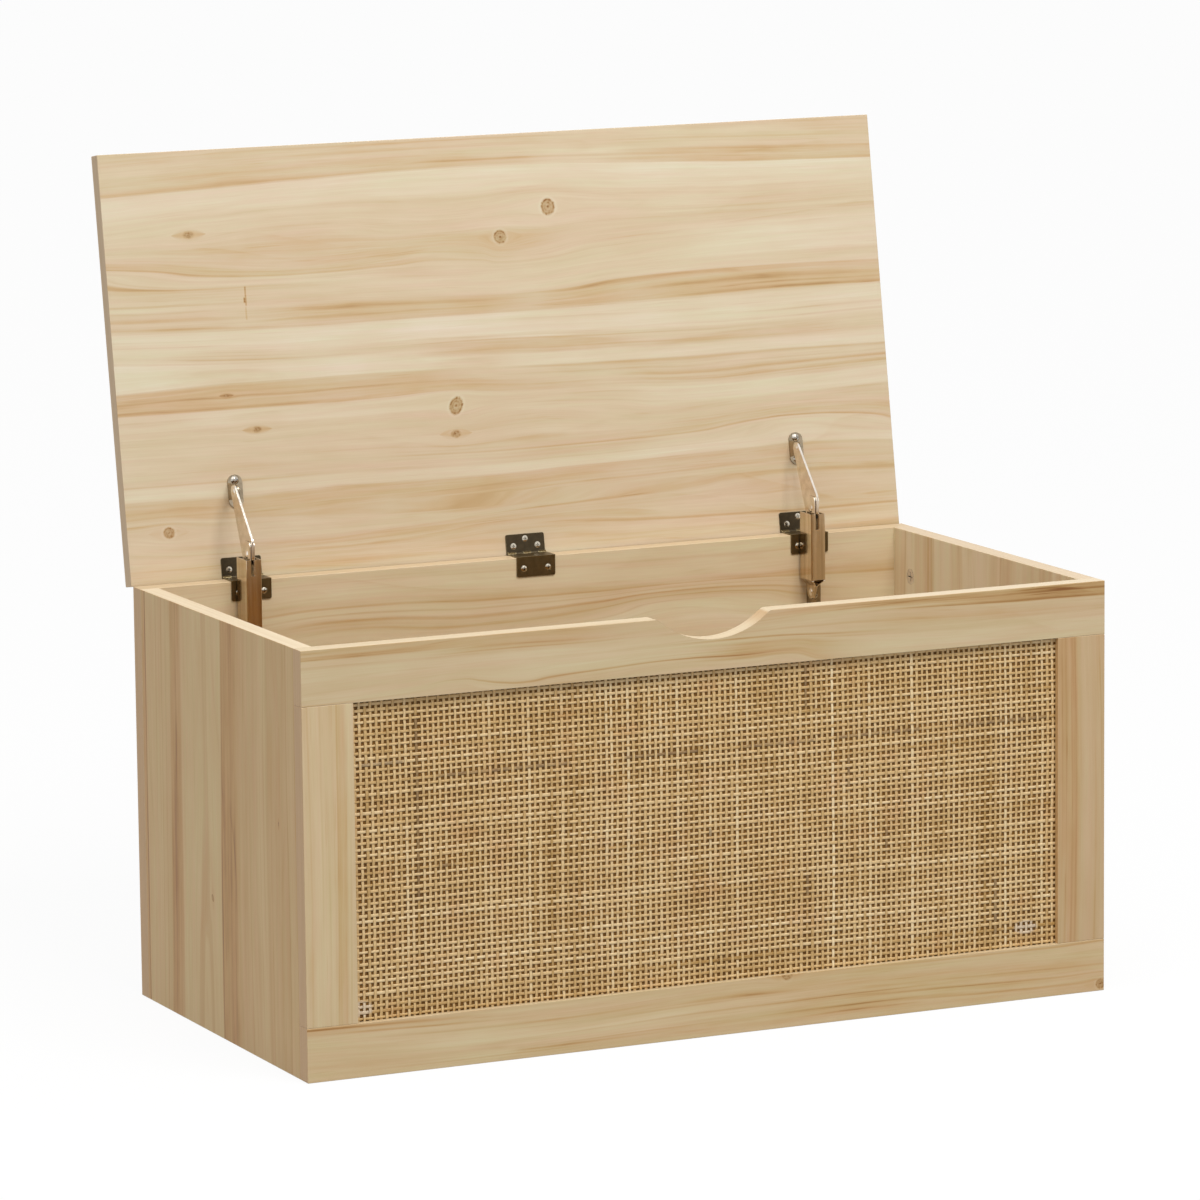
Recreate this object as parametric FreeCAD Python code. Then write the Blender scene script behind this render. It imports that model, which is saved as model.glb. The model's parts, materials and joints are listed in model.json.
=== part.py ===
import FreeCAD, Part
import math
import os
from FreeCAD import Placement, Rotation, Vector

os.makedirs("parts", exist_ok=True)

# A storage chest with a lift-up lid, standing open.
# Millimetres, X to the right, Y to the back, Z up.
# The origin is the middle of the underside, on the floor.

# Carcass boards
chest_width = 800.0
chest_depth = 400.0
body_height = 385.0
panel_thickness = 18.0
edge_round = 0.6

# Front frame
stile_width = 49.0
top_rail_height = 50.0
bottom_rail_height = 49.0

# Finger notch in the front top rail
notch_depth = 22.0
notch_radius = 82.0
notch_shoulder_radius = 10.0

# Cane panel and its backing, let into a groove of the front frame
cane_recess = 5.2
cane_thickness = 1.5
backing_thickness = 3.0
groove_depth = 8.0
groove_side_gap = 0.1
groove_end_gap = 0.5

# Lid
lid_thickness = 15.0
lid_front_setback = 4.0
lid_back_overhang = 3.3
lid_closed_gap = 2.5
lid_open_angle = 99.3

# Dowels
dowel_radius = 4.0
dowel_length = 30.0
dowel_chamfer = 0.8
dowel_gap = 0.05
frame_dowel_inset = 14.0
frame_dowel_pitch = 15.0
side_dowel_inset = 120.0
bottom_dowel_inset = 52.0
dowel_depth_in_face = 10.0

# Cam locks and their bolts
cam_radius = 7.5
cam_depth = 13.0
cam_setback = 34.0
cam_gap = 0.1
cam_slot_width = 1.2
cam_slot_length = 9.0
cam_slot_depth = 1.5
side_cam_drop = 44.0
bottom_cam_end_inset = 132.0
bottom_cam_front_inset = 92.0
bolt_thread_radius = 2.5
bolt_thread_length = 11.0
bolt_shaft_radius = 3.4
bolt_neck_radius = 2.2
bolt_neck_length = 6.0
bolt_head_length = 3.0
bolt_gap = 0.2

# Hinges, cranked over the back board
hinge_width = 40.0
hinge_inset = 110.0
leaf_thickness = 1.0
leaf_corner_radius = 2.0
knuckle_radius = 2.2
knuckle_standoff = 0.1
knuckle_count = 5
knuckle_end_gap = 0.15
knuckle_clearance = 0.3
pin_radius = 1.1
pin_gap = 0.05
pin_overhang = 0.3
frame_leaf_drop = 18.5
frame_screw_drop = 10.4
lid_leaf_height = 19.0
hinge_screw_spread = 12.5
lid_screw_low = 7.7
lid_screw_high = 14.4

# Countersunk hinge screws with slightly raised heads
screw_head_radius = 2.9
screw_head_height = 1.5
frame_screw_raise = 0.7
lid_screw_raise = 0.3
screw_shank_radius = 1.5
screw_length = 12.0
screw_gap = 0.05
screw_cross_width = 0.7
screw_cross_length = 3.2
screw_cross_depth = 0.7

# Dome screws of the lid stays
dome_radius = 4.2
dome_height = 2.4
dome_cross_width = 0.9
dome_cross_length = 4.2
dome_cross_depth = 1.2
dome_shank_radius = 1.8
dome_shank_length = 12.0

# Lid stays: pivots, measured from the ends, the back board, the rim and the hinge axis
left_stay_inset = 101.5
right_stay_inset = 114.5
stay_pivot_setback = 13.5
stay_pivot_drop = 54.0
bracket_pivot_reach = 80.0
bracket_pivot_drop = 19.0
layer_gap = 0.3
stay_sheet = 1.2
rivet_head_radius = 3.9
rivet_head_height = 1.4
rivet_shank_radius = 2.2
rivet_gap = 0.06

# Stay case, a channel folded from sheet that is open at the back
case_width = 15.0
case_left_of_arm = 6.5
case_front = 13.0
case_depth = 24.0
case_start = 13.0
case_height = 64.0
case_fold_radius = 1.0
case_slot_height = 15.0
case_slot_width = 3.8
case_pinch_height = 6.5
case_tongue_radius = 6.5

# Plunger with its fork, and the spring under it
prong_front = 8.0
prong_back = 7.5
prong_top = 12.0
prong_corner_radius = 4.0
slider_top_drop = 28.0
slider_thickness = 4.0
slider_side_gap = 0.5
plunger_rod_radius = 2.4
plunger_rod_overrun = 3.0
rod_hole_gap = 0.3
spring_inner_radius = 3.2
spring_outer_radius = 4.3

# Stay arm
arm_thickness = 2.0
arm_tip_radius = 5.5
arm_front = 9.5
arm_back = 14.5
arm_heel_radius = 11.0
arm_shoulder_radius = 4.0
arm_shoulder_rise = 12.0
arm_toe_drop = 2.0

# Brackets of the stay on the lid and on the back board
bracket_sheet = 1.5
bracket_plate_width = 14.5
bracket_plate_length = 31.0
bracket_eye_radius = 6.0
base_eye_radius = 5.0
bracket_screw_inset = 5.0
base_plate_length = 32.0
base_plate_rise = 5.0

# One overrun that lets a cutting tool pass clean through
overrun = 1.0

# Places that follow from the sizes above
half_width = chest_width / 2
half_depth = chest_depth / 2
half_panel = panel_thickness / 2
inner_x = half_width - panel_thickness
inner_y = half_depth - panel_thickness
window_left = half_width - stile_width
window_top = body_height - top_rail_height
lid_underside = body_height + lid_closed_gap
hinge_y = half_depth + knuckle_standoff + knuckle_radius
hinge_z = lid_underside - knuckle_radius
hinge_axis = Vector(0, hinge_y, hinge_z)
hinge_places = {
    "left": hinge_inset - half_width,
    "centre": 0.0,
    "right": half_width - hinge_inset,
}
stay_places = {"left": left_stay_inset - half_width, "right": half_width - right_stay_inset}

# Pivots of the stay in the open pose, as (y, z): base, lid end of the arm, case end of the arm
open_radians = math.radians(lid_open_angle)
reach_sine = math.sin(open_radians)
reach_cosine = math.cos(open_radians)
bracket_pivot_below = knuckle_radius - bracket_pivot_drop
link_y = bracket_pivot_below * reach_sine - bracket_pivot_reach * reach_cosine
link_z = bracket_pivot_below * reach_cosine + bracket_pivot_reach * reach_sine
base_pivot = (inner_y - stay_pivot_setback, body_height - stay_pivot_drop)
lid_pivot = (hinge_y + link_y, hinge_z + link_z)
case_pivot = (base_pivot[0] + link_y, base_pivot[1] + link_z)

x_axis = Vector(1, 0, 0)
y_axis = Vector(0, 1, 0)
z_axis = Vector(0, 0, 1)


def block(x_low, x_high, y_low, y_high, z_low, z_high):
    size = (x_high - x_low, y_high - y_low, z_high - z_low)
    return Part.makeBox(*size, Vector(x_low, y_low, z_low))


def board(x_low, x_high, y_low, y_high, z_low, z_high):
    blank = block(x_low, x_high, y_low, y_high, z_low, z_high)
    return blank.makeFillet(edge_round, blank.Edges)


def save(name, *solids):
    shape = solids[0] if len(solids) == 1 else Part.makeCompound(list(solids))
    if not shape.isValid():
        raise ValueError("bad shape: " + name)
    shape.exportStep("parts/" + name + ".step")
    print(name, len(shape.Solids), "solid(s)", round(shape.Volume), "mm3")


def swung_open(shape):
    return shape.rotated(hinge_axis, x_axis, -lid_open_angle)


def drilled(shape, tools):
    for tool in tools:
        shape = shape.cut(tool)
    return shape.Solids[0]


# An outline that runs counterclockwise round a ring of discs, each (u, v, radius)
def belt(discs, place):
    pairs = list(zip(discs, discs[1:] + discs[:1]))
    angles = []
    for (u1, v1, r1), (u2, v2, r2) in pairs:
        run = math.hypot(u2 - u1, v2 - v1)
        heading = math.atan2(v2 - v1, u2 - u1)
        angles.append(heading - math.pi / 2 + math.asin((r1 - r2) / run))
    edges = []
    for index, ((u1, v1, r1), (u2, v2, r2)) in enumerate(pairs):
        leave = angles[index]
        arrive = angles[index - 1]
        turn = (leave - arrive) % math.tau

        def rim(angle):
            return place(u1 + r1 * math.cos(angle), v1 + r1 * math.sin(angle))

        if r1 > 0:
            edges.append(Part.Arc(rim(arrive), rim(arrive + turn / 2), rim(leave)).toShape())
        far = place(u2 + r2 * math.cos(leave), v2 + r2 * math.sin(leave))
        edges.append(Part.LineSegment(rim(leave), far).toShape())
    return Part.Face(Part.Wire(edges))


# A sheet in the Y-Z plane between two X values
def side_plate(discs, x_low, x_high):
    face = belt(discs, lambda u, v: Vector(x_low, u, v))
    return face.extrude(Vector(x_high - x_low, 0, 0))


# A rectangle with rounded corners, as four discs
def rounded(u_low, u_high, v_low, v_high, low_radius, high_radius):
    return [
        (u_low + low_radius, v_low + low_radius, low_radius),
        (u_high - low_radius, v_low + low_radius, low_radius),
        (u_high - high_radius, v_high - high_radius, high_radius),
        (u_low + high_radius, v_high - high_radius, high_radius),
    ]


def aimed(shape, at, into):
    placed = shape.copy()
    placed.Placement = Placement(at, Rotation(z_axis, into))
    return placed


def cross(width, length, low, high):
    bars = [(length / 2, width / 2), (width / 2, length / 2)]
    first, second = (block(-a, a, -b, b, low, high) for a, b in bars)
    return first.fuse(second)


# A dome whose flat side lies at zero and that bulges towards minus Z
def dome(radius, height):
    ball = (radius**2 + height**2) / (2 * height)
    sphere = Part.makeSphere(ball, Vector(0, 0, ball - height))
    return sphere.common(block(-radius, radius, -radius, radius, -height, 0))


# The head's rim lies at zero and the shank runs along plus Z
def screw_body(gap):
    head = Part.makeCone(screw_head_radius + gap, screw_shank_radius + gap, screw_head_height)
    return head.fuse(Part.makeCylinder(screw_shank_radius + gap, screw_length + gap))


def countersunk_screw(at, into, lift):
    screw = screw_body(0).fuse(dome(screw_head_radius, lift))
    mark = cross(screw_cross_width, screw_cross_length, -lift, screw_cross_depth)
    return aimed(screw.cut(mark), at, into)


def countersunk_hole(at, into):
    return aimed(screw_body(screw_gap), at, into)


def dome_screw(at, into):
    shank = Part.makeCylinder(dome_shank_radius, dome_shank_length)
    screw = dome(dome_radius, dome_height).fuse(shank)
    mark_top = dome_cross_depth - dome_height
    return aimed(screw.cut(cross(dome_cross_width, dome_cross_length, -dome_height, mark_top)), at, into)


def dome_screw_hole(at, into):
    return aimed(Part.makeCylinder(dome_shank_radius + screw_gap, dome_shank_length + screw_gap), at, into)


def dowel(middle, along):
    peg = Part.makeCylinder(dowel_radius, dowel_length)
    ends = [edge for edge in peg.Edges if isinstance(edge.Curve, Part.Circle)]
    return aimed(peg.makeChamfer(dowel_chamfer, ends), middle - along * (dowel_length / 2), along)


def dowel_hole(middle, along):
    reach = dowel_length + 2 * dowel_gap
    return aimed(Part.makeCylinder(dowel_radius + dowel_gap, reach), middle - along * (reach / 2), along)


# Corner joints of the carcass: each has a joint point, the way into the board
# whose edge it joins, and the way to the face that its cam is set in
bottom_cam_x = inner_x - bottom_cam_end_inset
bottom_cam_y = inner_y - bottom_cam_front_inset
edge_joints = []
for side in (-1, 1):
    for end in (-1, 1):
        for height in (body_height - side_cam_drop, side_cam_drop):
            joint = Vector(side * (half_width - half_panel), end * inner_y, height)
            edge_joints.append((side, joint, y_axis * -end, x_axis * -side))
for end in (-1, 1):
    for spot in (-bottom_cam_x, bottom_cam_x):
        edge_joints.append((0, Vector(spot, end * inner_y, half_panel), y_axis * -end, z_axis * -1))
for side in (-1, 1):
    for spot in (-bottom_cam_y, bottom_cam_y):
        edge_joints.append((0, Vector(side * inner_x, spot, half_panel), x_axis * -side, z_axis * -1))


def cam_bolt(joint, inward, gap=0.0):
    thread = Part.makeCylinder(bolt_thread_radius + gap, bolt_thread_length + gap, joint, inward * -1)
    shaft_length = cam_setback - bolt_neck_length - bolt_head_length / 2
    shaft = Part.makeCylinder(bolt_shaft_radius, shaft_length, joint, inward)
    neck_start = joint + inward * shaft_length
    neck = Part.makeCylinder(bolt_neck_radius, bolt_neck_length, neck_start, inward)
    head_start = neck_start + inward * bolt_neck_length
    head = Part.makeCylinder(bolt_shaft_radius, bolt_head_length, head_start, inward)
    return thread.fuse([shaft, neck, head])


def bolt_bore(joint, inward):
    return Part.makeCylinder(bolt_shaft_radius + bolt_gap, cam_setback + bolt_head_length, joint, inward)


def thread_bore(joint, inward):
    radius = bolt_thread_radius + dowel_gap
    return Part.makeCylinder(radius, bolt_thread_length + dowel_gap, joint, inward * -1)


def cam_lock(joint, inward, facing):
    centre = joint + inward * cam_setback
    outer = centre + facing * half_panel
    blank = Part.makeCylinder(cam_radius, cam_depth, outer, facing * -1)
    blank = blank.cut(bolt_bore(joint, inward))
    recess = cross(cam_slot_width, cam_slot_length, 0, cam_slot_depth)
    return blank.cut(aimed(recess, outer, facing * -1))


def cam_pocket(joint, inward, facing):
    outer = joint + inward * cam_setback + facing * half_panel
    return Part.makeCylinder(cam_radius + cam_gap, cam_depth + cam_gap, outer, facing * -1)


# Dowels between the sides and the front and back, and round the bottom
dowel_shift = dowel_length / 2 - dowel_depth_in_face
bottom_dowel_x = inner_x - bottom_dowel_inset
bottom_dowel_y = inner_y - bottom_dowel_inset
corner_dowels = []
for side in (-1, 1):
    for end in (-1, 1):
        for height in (side_dowel_inset, body_height - side_dowel_inset):
            middle = Vector(side * (half_width - half_panel), end * (inner_y - dowel_shift), height)
            corner_dowels.append((middle, y_axis))
bottom_dowels = []
for end in (-1, 1):
    for spot in (-bottom_dowel_x, bottom_dowel_x):
        bottom_dowels.append((Vector(spot, end * (inner_y - dowel_shift), half_panel), y_axis))
for side in (-1, 1):
    for spot in (-bottom_dowel_y, bottom_dowel_y):
        bottom_dowels.append((Vector(side * (inner_x - dowel_shift), spot, half_panel), x_axis))
carcass_dowels = corner_dowels + bottom_dowels

# Two dowels in each joint of the front frame
frame_dowels = []
for side in (-1, 1):
    for height in (bottom_rail_height, window_top):
        for step in (0, frame_dowel_pitch):
            spot = side * (window_left + frame_dowel_inset + step)
            frame_dowels.append((Vector(spot, half_panel - half_depth, height), z_axis))

# Holes that more than one board shares
carcass_dowel_holes = [dowel_hole(*place) for place in carcass_dowels]
frame_dowel_holes = [dowel_hole(*place) for place in frame_dowels]
thread_bores = [thread_bore(joint, inward) for _, joint, inward, _ in edge_joints]


# Only the holes that reach into a board are cut in it
def bored(shape, tools):
    near = [tool for tool in tools if tool.BoundBox.intersect(shape.BoundBox)]
    return drilled(shape, [tool for tool in near if tool.common(shape).Volume > 0])


# Front frame
groove_front = cane_recess - half_depth
groove_back = groove_front + cane_thickness + backing_thickness + groove_side_gap
groove = block(
    -window_left - groove_depth,
    window_left + groove_depth,
    groove_front,
    groove_back,
    bottom_rail_height - groove_depth,
    window_top + groove_depth,
)
front_holes = frame_dowel_holes + carcass_dowel_holes + thread_bores + [groove]

notch_centre_z = body_height - notch_depth + notch_radius
shoulder_z = body_height - notch_shoulder_radius
shoulder_x = math.sqrt(
    (notch_radius + notch_shoulder_radius) ** 2 - (notch_centre_z - shoulder_z) ** 2
)
tangent_share = notch_radius / (notch_radius + notch_shoulder_radius)


def notch_point(x, z):
    return Vector(x, -half_depth - overrun, z)


def finger_notch():
    tangent_x = shoulder_x * tangent_share
    tangent_z = notch_centre_z - (notch_centre_z - shoulder_z) * tangent_share
    lean = math.atan2(notch_centre_z - shoulder_z, shoulder_x)
    mid_lean = (lean + math.pi / 2) / 2
    mid_x = shoulder_x - notch_shoulder_radius * math.cos(mid_lean)
    mid_z = shoulder_z + notch_shoulder_radius * math.sin(mid_lean)
    above = body_height + overrun
    left_top = notch_point(-shoulder_x, above)
    left_rim = notch_point(-shoulder_x, body_height)
    left_tangent = notch_point(-tangent_x, tangent_z)
    right_tangent = notch_point(tangent_x, tangent_z)
    right_rim = notch_point(shoulder_x, body_height)
    right_top = notch_point(shoulder_x, above)
    lowest = notch_point(0, body_height - notch_depth)
    edges = [
        Part.LineSegment(left_top, left_rim).toShape(),
        Part.Arc(left_rim, notch_point(-mid_x, mid_z), left_tangent).toShape(),
        Part.Arc(left_tangent, lowest, right_tangent).toShape(),
        Part.Arc(right_tangent, notch_point(mid_x, mid_z), right_rim).toShape(),
        Part.LineSegment(right_rim, right_top).toShape(),
        Part.LineSegment(right_top, left_top).toShape(),
    ]
    face = Part.Face(Part.Wire(edges))
    return face.extrude(Vector(0, panel_thickness + 2 * overrun, 0))


front_span = (-half_depth, -inner_y)
top_rail = board(-half_width, half_width, *front_span, window_top, body_height)
top_rail = drilled(top_rail, [finger_notch()])
save("front_top_rail", bored(top_rail, front_holes))

bottom_rail = board(-half_width, half_width, *front_span, 0, bottom_rail_height)
save("front_bottom_rail", bored(bottom_rail, front_holes))

for name, low in (("left", -half_width), ("right", window_left)):
    stile = board(low, low + stile_width, *front_span, bottom_rail_height, window_top)
    save("front_" + name + "_stile", bored(stile, front_holes))

# Cane and backing in the groove
panel_x = window_left + groove_depth - groove_end_gap
panel_low = bottom_rail_height - groove_depth + groove_end_gap
panel_high = window_top + groove_depth - groove_end_gap
cane_back = groove_front + cane_thickness
save("cane_panel", block(-panel_x, panel_x, groove_front, cane_back, panel_low, panel_high))
backing_back = cane_back + backing_thickness
save("cane_backing", block(-panel_x, panel_x, cane_back, backing_back, panel_low, panel_high))

# Sides, back and bottom
for side, name in ((-1, "left_side"), (1, "right_side")):
    faces = sorted((side * inner_x, side * half_width))
    panel = board(*faces, -inner_y, inner_y, 0, body_height)
    tools = []
    for owner, joint, inward, facing in edge_joints:
        if owner == side:
            tools += [bolt_bore(joint, inward), cam_pocket(joint, inward, facing)]
    save(name, bored(panel, tools + carcass_dowel_holes + thread_bores))

bottom = board(-inner_x, inner_x, -inner_y, inner_y, 0, panel_thickness)
bottom_tools = []
for owner, joint, inward, facing in edge_joints:
    if owner == 0:
        bottom_tools += [bolt_bore(joint, inward), cam_pocket(joint, inward, facing)]
save("bottom_panel", bored(bottom, bottom_tools + carcass_dowel_holes))

save("frame_dowels", *[dowel(*place) for place in frame_dowels])
save("carcass_dowels", *[dowel(*place) for place in carcass_dowels])
save("cam_bolts", *[cam_bolt(joint, inward) for _, joint, inward, _ in edge_joints])
save("cam_locks", *[cam_lock(joint, inward, facing) for _, joint, inward, facing in edge_joints])

# Hinge knuckles: odd ones belong to the frame leaf, even ones to the lid leaf
knuckle_length = hinge_width / knuckle_count


def knuckles(middle, parity, radius, end_gap):
    rods = []
    for index in range(knuckle_count):
        if index % 2 == parity:
            start = middle - hinge_width / 2 + index * knuckle_length + end_gap
            length = knuckle_length - 2 * end_gap
            rods.append(Part.makeCylinder(radius, length, Vector(start, hinge_y, hinge_z), x_axis))
    return rods


def pin_hole(middle):
    start = Vector(middle - hinge_width / 2 - overrun, hinge_y, hinge_z)
    return Part.makeCylinder(pin_radius + pin_gap, hinge_width + 2 * overrun, start, x_axis)


def frame_leaf(middle, screws):
    left = middle - hinge_width / 2
    right = middle + hinge_width / 2
    face_y = inner_y - leaf_thickness
    top = body_height + leaf_thickness
    strip = block(left, right, face_y, hinge_y, body_height, top)
    corners = rounded(left, right, body_height - frame_leaf_drop, top, leaf_corner_radius, 0)
    drop = belt(corners, lambda u, v: Vector(u, inner_y, v)).extrude(Vector(0, -leaf_thickness, 0))
    leaf = strip.fuse([drop] + knuckles(middle, 0, knuckle_radius, knuckle_end_gap))
    # The strip and the other leaf's knuckles keep clear of each other
    clear_radius = knuckle_radius + knuckle_clearance
    leaf = leaf.cut(knuckles(middle, 1, clear_radius, -knuckle_end_gap))
    return drilled(leaf, [pin_hole(middle)] + screws)


# The lid leaf is drawn with the lid closed
def lid_leaf(middle, screws):
    left = middle - hinge_width / 2
    right = middle + hinge_width / 2
    corners = rounded(left, right, hinge_y - lid_leaf_height, hinge_y, leaf_corner_radius, 0)
    plate = belt(corners, lambda u, v: Vector(u, v, lid_underside)).extrude(Vector(0, 0, -leaf_thickness))
    leaf = plate.fuse(knuckles(middle, 1, knuckle_radius, knuckle_end_gap))
    clear_radius = knuckle_radius + knuckle_clearance
    leaf = leaf.cut(knuckles(middle, 0, clear_radius, -knuckle_end_gap))
    return drilled(leaf, [pin_hole(middle)] + screws)


back_holes = list(carcass_dowel_holes + thread_bores)
lid_holes = []
for name, middle in hinge_places.items():
    screw_z = body_height - frame_screw_drop
    frame_spots = []
    for spread in (-hinge_screw_spread, hinge_screw_spread):
        frame_spots.append(Vector(middle + spread, inner_y - leaf_thickness, screw_z))
    lid_spots = [Vector(middle, hinge_y - lid_screw_high, lid_underside - leaf_thickness)]
    for spread in (-hinge_screw_spread, hinge_screw_spread):
        spot = Vector(middle + spread, hinge_y - lid_screw_low, lid_underside - leaf_thickness)
        lid_spots.append(spot)
    frame_tools = [countersunk_hole(spot, y_axis) for spot in frame_spots]
    lid_tools = [countersunk_hole(spot, z_axis) for spot in lid_spots]
    back_holes += frame_tools
    lid_holes += lid_tools
    pin_length = hinge_width + 2 * pin_overhang
    pin_start = Vector(middle - pin_length / 2, hinge_y, hinge_z)
    save(name + "_hinge_frame_leaf", frame_leaf(middle, frame_tools))
    save(name + "_hinge_lid_leaf", swung_open(lid_leaf(middle, lid_tools)))
    save(name + "_hinge_pin", Part.makeCylinder(pin_radius, pin_length, pin_start, x_axis))
    # The knuckles turn in a shallow groove under the lid
    groove_radius = knuckle_radius + knuckle_clearance
    lid_holes.append(Part.makeCylinder(groove_radius, pin_length, pin_start, x_axis))
    frame_screws = [countersunk_screw(spot, y_axis, frame_screw_raise) for spot in frame_spots]
    save(name + "_hinge_frame_screws", *frame_screws)
    lid_screws = [swung_open(countersunk_screw(spot, z_axis, lid_screw_raise)) for spot in lid_spots]
    save(name + "_hinge_lid_screws", *lid_screws)


# A rivet along X with a dome head at its left end
def rivet(pivot, head_x, end_x, tail):
    y, z = pivot
    head = aimed(dome(rivet_head_radius, rivet_head_height), Vector(head_x, y, z), x_axis)
    shank = Part.makeCylinder(rivet_shank_radius, end_x - head_x, Vector(head_x, y, z), x_axis)
    solid = head.fuse(shank)
    if tail:
        solid = solid.fuse(rivet_tail(pivot, end_x))
    return solid


def rivet_tail(pivot, face_x):
    y, z = pivot
    return aimed(dome(rivet_head_radius, rivet_head_height), Vector(face_x, y, z), x_axis * -1)


def rivet_hole(pivot, x):
    y, z = pivot
    start = Vector(x - half_panel, y, z)
    return Part.makeCylinder(rivet_shank_radius + rivet_gap, panel_thickness, start, x_axis)


# Layers of the stay, counted in X from the middle of the arm
arm_face = arm_thickness / 2
ear_low = arm_face + layer_gap
ear_high = ear_low + bracket_sheet
prong_low = arm_face + layer_gap
prong_high = prong_low + stay_sheet
tongue_face = stay_sheet
base_ear_low = tongue_face + layer_gap
base_ear_high = base_ear_low + bracket_sheet

case_low_y = base_pivot[0] - case_front
case_high_y = case_low_y + case_depth
case_low_z = base_pivot[1] + case_start
case_high_z = case_low_z + case_height
slider_top = case_pivot[1] - slider_top_drop
slider_low = slider_top - slider_thickness


def stay_case(x):
    left = x - case_left_of_arm
    right = left + case_width
    corners = rounded(left, right, case_low_y, case_high_y, case_fold_radius, 0)
    shell = belt(corners, lambda u, v: Vector(u, v, case_low_z)).extrude(Vector(0, 0, case_height))
    floor_z = case_low_z + stay_sheet
    inside = block(
        left + stay_sheet,
        right - stay_sheet,
        case_low_y + stay_sheet,
        case_high_y + overrun,
        floor_z,
        case_high_z + overrun,
    )
    slot_half = case_slot_width / 2
    slot = block(
        x - slot_half,
        x + slot_half,
        case_low_y - overrun,
        case_low_y + stay_sheet + overrun,
        case_high_z - case_slot_height,
        case_high_z + overrun,
    )
    rod_spot = Vector(left + case_width / 2, case_low_y + case_depth / 2, case_low_z - overrun)
    rod_hole = Part.makeCylinder(plunger_rod_radius + rod_hole_gap, 2 * overrun + stay_sheet, rod_spot)
    shell = shell.cut([inside, slot, rod_hole])
    # Below the box the two walls lean together and run down to the pivot as a tongue
    pinch_z = case_low_z - case_pinch_height
    tongue_discs = [
        (base_pivot[0], base_pivot[1], case_tongue_radius),
        (case_high_y - stay_sheet, case_low_z - stay_sheet, stay_sheet),
        (case_low_y + stay_sheet, case_low_z - stay_sheet, stay_sheet),
    ]
    outline = side_plate(tongue_discs, left, right)
    for wall_x, tongue_low in ((left, x - tongue_face), (right - stay_sheet, x)):
        profile = [
            Vector(wall_x, case_low_y, case_low_z),
            Vector(wall_x + stay_sheet, case_low_y, case_low_z),
            Vector(tongue_low + stay_sheet, case_low_y, pinch_z),
            Vector(tongue_low + stay_sheet, case_low_y, base_pivot[1] - case_tongue_radius),
            Vector(tongue_low, case_low_y, base_pivot[1] - case_tongue_radius),
            Vector(tongue_low, case_low_y, pinch_z),
        ]
        wall = Part.Face(Part.makePolygon(profile + profile[:1])).extrude(Vector(0, case_depth, 0))
        shell = shell.fuse(wall.common(outline))
    return drilled(shell, [rivet_hole(base_pivot, x)])


def plunger(x):
    left = x - case_left_of_arm + stay_sheet + slider_side_gap
    right = x - case_left_of_arm + case_width - stay_sheet - slider_side_gap
    low_y = case_pivot[0] - prong_front
    high_y = case_high_y - slider_side_gap
    slider = block(left, right, low_y, high_y, slider_low, slider_top)
    corners = rounded(
        low_y,
        case_pivot[0] + prong_back,
        slider_low,
        case_pivot[1] + prong_top,
        0,
        prong_corner_radius,
    )
    prongs = [
        side_plate(corners, x - prong_high, x - prong_low),
        side_plate(corners, x + prong_low, x + prong_high),
    ]
    rod_spot = Vector(
        x - case_left_of_arm + case_width / 2,
        case_low_y + case_depth / 2,
        case_low_z - plunger_rod_overrun,
    )
    rod = Part.makeCylinder(plunger_rod_radius, slider_low - rod_spot.z, rod_spot)
    return drilled(slider.fuse(prongs + [rod]), [rivet_hole(case_pivot, x)])


def stay_spring(x):
    floor_z = case_low_z + stay_sheet
    spot = Vector(x - case_left_of_arm + case_width / 2, case_low_y + case_depth / 2, floor_z)
    outer = Part.makeCylinder(spring_outer_radius, slider_low - floor_z, spot)
    return outer.cut(Part.makeCylinder(spring_inner_radius, slider_low - floor_z, spot))


def stay_arm(x):
    y, z = case_pivot
    front = y - arm_front + arm_shoulder_radius
    discs = [
        (y + arm_back - arm_heel_radius, z, arm_heel_radius),
        (lid_pivot[0], lid_pivot[1], arm_tip_radius),
        (front, z + arm_shoulder_rise, arm_shoulder_radius),
        (front, z - arm_toe_drop, arm_shoulder_radius),
    ]
    blade = side_plate(discs, x - arm_face, x + arm_face)
    case_hole = rivet_hole(case_pivot, x)
    lid_hole = Part.makeCylinder(
        rivet_shank_radius, panel_thickness, Vector(x - half_panel, *lid_pivot), x_axis
    )
    return drilled(blade, [case_hole, lid_hole])


# The bracket on the lid is drawn with the lid closed
def lid_bracket(x, screw_holes):
    low_x = x + ear_low
    pivot_y = hinge_y - bracket_pivot_reach
    pivot_z = lid_underside - bracket_pivot_drop
    half_length = bracket_plate_length / 2
    end_radius = bracket_plate_width / 2
    middle_x = low_x + end_radius
    plate_ends = [
        (middle_x, pivot_y - half_length + end_radius, end_radius),
        (middle_x, pivot_y + half_length - end_radius, end_radius),
    ]
    plate = belt(plate_ends, lambda u, v: Vector(u, v, lid_underside - bracket_sheet))
    plate = plate.extrude(Vector(0, 0, bracket_sheet))
    straight = half_length - end_radius
    ear_discs = [
        (pivot_y, pivot_z, bracket_eye_radius),
        (pivot_y + straight, lid_underside, 0),
        (pivot_y - straight, lid_underside, 0),
    ]
    bracket = plate.fuse(side_plate(ear_discs, low_x, x + ear_high))
    return drilled(bracket, screw_holes)


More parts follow.
